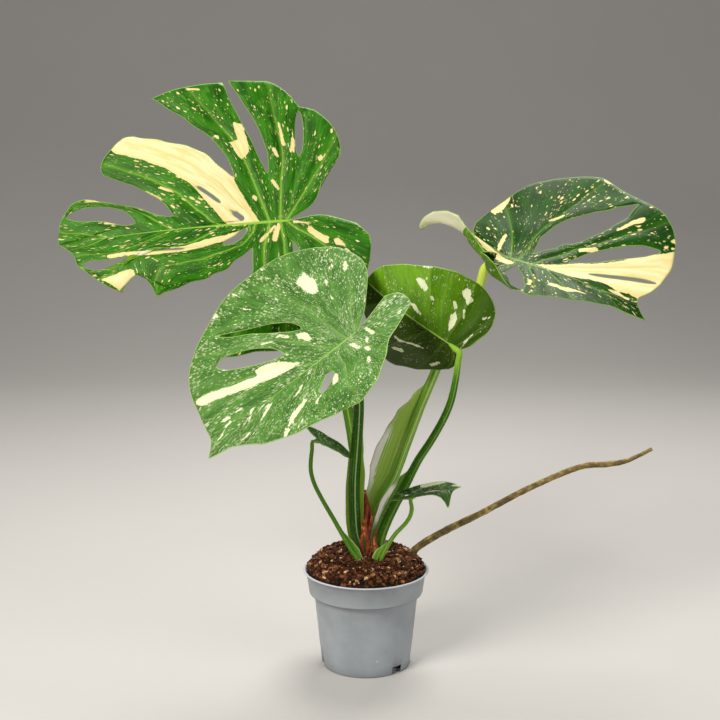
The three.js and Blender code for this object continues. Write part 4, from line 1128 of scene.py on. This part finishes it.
stemBuild = {"at": (1, 2), "radius": 5.5, "foot": 62, "top": 117, "ringStep": 9, "ringRise": 0.7,
             "ringMiddle": 0.33, "ringWidth": 0.1, "detail": 0.75}
bm = bmesh.new()
z = stemBuild["foot"]
outline = [(0.0, z)]
while z < stemBuild["top"] - 1.5:
    ring = (z - stemBuild["foot"]) % stemBuild["ringStep"] / stemBuild["ringStep"]
    swelling = math.exp(-((ring - stemBuild["ringMiddle"]) / stemBuild["ringWidth"])**2)
    outline.append((stemBuild["radius"] + stemBuild["ringRise"] * swelling, z))
    z += stemBuild["detail"]
outline += [(stemBuild["radius"] - 0.4, stemBuild["top"] - 0.6),
            (stemBuild["radius"] - 1.4, stemBuild["top"]), (0.0, stemBuild["top"])]
spin(bm, outline, 40, mm)
bmesh.ops.translate(bm, verts=bm.verts, vec=(stemBuild["at"][0] * mm, stemBuild["at"][1] * mm, 0))
bmesh.ops.recalc_face_normals(bm, faces=bm.faces)
finishPiece(bm, "stem_shape", [stemMaterial], ["stem"])


# Pot
print("pot")
potBuild = {
    "base": 42.6, "step": 49.7, "band": 54.4, "bandTop": 57.2, "lip": 60, "mouth": 58, "height": 93.4,
    "stepHeight": 71.2, "lipThickness": 1.5, "wall": 1.3, "floor": 2.2, "notchHalfAngle": 8.2,
    "notchHeight": 7.6, "notchDepth": 6, "notchAngles": (-47, 73, 193),
}
p = potBuild
lipFoot = p["height"] - p["lipThickness"]
outline = [
    (0, 0), (20, 0), (p["base"] - p["notchDepth"], 0), (p["base"] - 1.4, 0), (p["base"] - 0.4, 0.35),
    (p["base"], 1.4), (p["base"] + 0.32, p["notchHeight"]), (p["base"] + 2, 20), (p["base"] + 4.2, 43),
    (p["step"] - 0.05, p["stepHeight"] - 0.9), (p["step"] + 0.5, p["stepHeight"] - 0.3),
    (p["band"] - 0.9, p["stepHeight"]), (p["band"] - 0.25, p["stepHeight"] + 0.2),
    (p["band"], p["stepHeight"] + 0.9), (p["bandTop"], lipFoot - 0.15), (p["bandTop"] + 0.3, lipFoot),
    (p["lip"] - 0.5, lipFoot), (p["lip"], lipFoot + 0.5), (p["lip"], p["height"] - 0.4),
    (p["lip"] - 0.4, p["height"]), (p["mouth"] + 0.3, p["height"]), (p["mouth"], p["height"] - 0.3),
    (p["bandTop"] - p["wall"], lipFoot - 0.8), (p["band"] - p["wall"], p["stepHeight"] + p["wall"] + 0.8),
    (p["step"] - p["wall"], p["stepHeight"] + 0.6), (p["base"] - p["wall"] + 0.45, p["notchHeight"]),
    (p["base"] - p["wall"] + 0.2, p["floor"] + 1), (p["base"] - p["wall"] - 0.8, p["floor"]),
    (p["base"] - p["notchDepth"], p["floor"]), (20, p["floor"]), (0, p["floor"]),
]
bm = bmesh.new()
spin(bm, outline, 180, mm, start=1)


def inNotch(face, angle):
    middle = face.calc_center_median() / mm
    turn = abs((math.degrees(math.atan2(middle.y, middle.x)) - angle + 180) % 360 - 180)
    return (turn < p["notchHalfAngle"] and middle.z < p["notchHeight"]
            and math.hypot(middle.x, middle.y) > p["base"] - p["notchDepth"])


for angle in p["notchAngles"]:
    gone = [face for face in bm.faces if inNotch(face, angle)]
    bmesh.ops.delete(bm, geom=gone, context="FACES")
    rims = [edge for edge in bm.edges if edge.is_boundary]
    bmesh.ops.bridge_loops(bm, edges=rims)
bmesh.ops.recalc_face_normals(bm, faces=bm.faces)

potMaterial, tree, surface = newMaterial("grey_blue_plastic")
place = put(tree, "TexCoord").outputs["Object"]
cloudy = grain(tree, place, 26, 4, 0.6)
colour = blend(tree, step(tree, cloudy, 0.35, 0.65), rgb(142, 148, 153), rgb(154, 160, 164))
dots = put(tree, "TexVoronoi", {"Vector": place, "Scale": 95}).outputs["Distance"]
sparse = step(tree, grain(tree, place, 60, 1), 0.66, 0.68)
spots = times(tree, less(tree, 1.0, step(tree, dots, 0.05, 0.09)), sparse)
colour = blend(tree, spots, colour, rgb(205, 210, 214))
height = put(tree, "SeparateXYZ", {0: place}).outputs[2]
# Painted highlight: a pale band along the top of the lip
colour = blend(tree, times(tree, step(tree, height, 0.0915, 0.0930), 0.7), colour, rgb(196, 202, 207))
# Painted shadow: a dark line at the crease under the band's step
offCreaseShadow = calc(tree, "ABSOLUTE", less(tree, height, p["stepHeight"] * mm))
colour = blend(tree, times(tree, step(tree, offCreaseShadow, 0.0013, 0.0004), 0.6), colour, rgb(84, 90, 95))
# The lowest 12 mm are darker towards the bottom
colour = blend(tree, times(tree, step(tree, height, 0.012, 0.0), 0.35), colour, rgb(104, 110, 114))
drawnMarks = grain(tree, stretch(tree, place, (1, 1, 0.12)), 260, 3, 0.5)
bump = bumped(tree, plus(tree, drawnMarks, grain(tree, place, 700, 2)), 0.12, 0.0003)
rough = plus(tree, 0.38, times(tree, cloudy, 0.18))
shader = put(tree, "BsdfPrincipled", {"Base Color": colour, "Roughness": rough, "Normal": bump})
tree.links.new(shader.outputs[0], surface)
finishPiece(bm, "pot_shape", [potMaterial], ["pot"])


# Potting mix
print("potting mix")
mixBuild = {"edge": 56.8, "edgeHeight": 92.6, "crest": 112, "crumb": 1.7, "rings": 44, "bottom": 60,
            "crumbs": 5200, "fibres": 420}


def crumbAt(x, y):
    return (math.sin(0.31 * x + 1.3) * math.sin(0.37 * y)
            + 0.6 * math.sin(0.83 * x - 0.4 * y) * math.cos(0.71 * y + 0.5))


def domeAt(x, y):
    out = min(math.hypot(x, y) / mixBuild["edge"], 1)
    rise = (mixBuild["crest"] - mixBuild["edgeHeight"]) * (1 - out**5)
    return mixBuild["edgeHeight"] + rise + mixBuild["crumb"] * crumbAt(x, y) * (1 - out**8)


soilMaterial, tree, surface = newMaterial("crumbly_mix")
place = put(tree, "TexCoord").outputs["Object"]
tone = attribute(tree, "tone")
mottled = grain(tree, place, 420, 4, 0.7)
ramp = put(tree, "ValToRGB", {0: plus(tree, tone, times(tree, less(tree, mottled, 0.5), 0.5))})
stops = ramp.color_ramp.elements
stops[0].position, stops[0].color = 0.0, rgb(20, 12, 8)
stops[1].position, stops[1].color = 1.0, rgb(222, 186, 138)
for position, colour in ((0.3, rgb(54, 28, 14)), (0.6, rgb(104, 60, 32)), (0.82, rgb(148, 96, 58))):
    stops.new(position).color = colour
bump = bumped(tree, grain(tree, place, 900, 5, 0.7), 0.9, 0.0008)
shader = put(tree, "BsdfPrincipled", {"Base Color": ramp.outputs[0], "Roughness": 0.9, "Normal": bump})
shader.inputs["Specular IOR Level"].default_value = 0.2
tree.links.new(shader.outputs[0], surface)

random.seed(11)
bm = bmesh.new()
shadeLayer = bm.verts.layers.float.new("tone")
outline = [(0.0, mixBuild["bottom"]), (46, mixBuild["bottom"]), (47.5, 72.8), (52.3, 76), (55, 90.3)]
outline += [(mixBuild["edge"] * ring / mixBuild["rings"], mixBuild["edgeHeight"])
            for ring in range(mixBuild["rings"], -1, -1)]
spin(bm, outline, 120, merge=1e-4)
for vert in bm.verts:
    if abs(vert.co.z - mixBuild["edgeHeight"]) < 1e-3:
        x, y, _ = vert.co
        rough = noise.noise(Vector((x * 0.5, y * 0.5, 3))) * 0.9 * (1 - min(math.hypot(x, y) / 57, 1)**8)
        vert.co.z = domeAt(x, y) - 1.2 + rough
    vert[shadeLayer] = 0.12
bmesh.ops.recalc_face_normals(bm, faces=bm.faces)


def pourCrumbs(bm, count, makeOne):
    # Crumbs are made in small batches, which is much quicker than in one large mesh
    batchSize = 60
    for start in range(0, count, batchSize):
        batch = bmesh.new()
        shades = batch.verts.layers.float.new("tone")
        for _ in range(min(batchSize, count - start)):
            makeOne(batch, shades)
        carrier = bpy.data.meshes.new("batch")
        batch.to_mesh(carrier)
        batch.free()
        bm.from_mesh(carrier)
        bpy.data.meshes.remove(carrier)


def spotOnMix(inset):
    radius = (mixBuild["edge"] - inset) * math.sqrt(random.random())
    angle = random.random() * math.tau
    return radius * math.cos(angle), radius * math.sin(angle)


def oneCrumb(batch, shades):
    x, y = spotOnMix(1.2)
    size = random.choice((0.7, 0.9, 1.1, 1.4, 1.9, 2.6))
    height = min(domeAt(x, y) - 0.6 + random.uniform(-0.9, 0.3), 112.5)
    scale = Matrix.Diagonal((size * random.uniform(0.7, 1.5), size * random.uniform(0.6, 1.1),
                             size * random.uniform(0.45, 0.8), 1))
    turn = Euler((random.uniform(-0.6, 0.6), random.uniform(-0.6, 0.6), random.uniform(0, math.tau)))
    matrix = Matrix.Translation((x, y, height)) @ turn.to_matrix().to_4x4() @ scale
    shade = min(1, max(0.05, random.gauss(0.42, 0.19) + (0.4 if random.random() < 0.1 else 0)))
    for vert in bmesh.ops.create_icosphere(batch, subdivisions=1, radius=1, matrix=matrix)["verts"]:
        vert.co += Vector([random.uniform(-1, 1) for _ in range(3)]) * size * 0.2
        vert[shades] = shade


def oneFibre(batch, shades):
    x, y = spotOnMix(5)
    turn = Euler((math.pi / 2 + random.uniform(-0.25, 0.25), 0, random.uniform(0, math.tau)))
    height = domeAt(x, y) + random.uniform(-0.3, 0.5)
    matrix = Matrix.Translation((x, y, height)) @ turn.to_matrix().to_4x4()
    thin = random.uniform(0.12, 0.3)
    shade = random.uniform(0.35, 1.0)
    for vert in bmesh.ops.create_cone(batch, cap_ends=True, segments=4, radius1=thin, radius2=thin * 0.5,
                                      depth=random.uniform(3, 9), matrix=matrix)["verts"]:
        vert[shades] = shade


pourCrumbs(bm, mixBuild["crumbs"], oneCrumb)
pourCrumbs(bm, mixBuild["fibres"], oneFibre)
bmesh.ops.scale(bm, verts=bm.verts, vec=(mm, mm, mm))
finishPiece(bm, "mix_shape", [soilMaterial], ["potting_mix"], smooth=False)

bpy.context.view_layer.update()
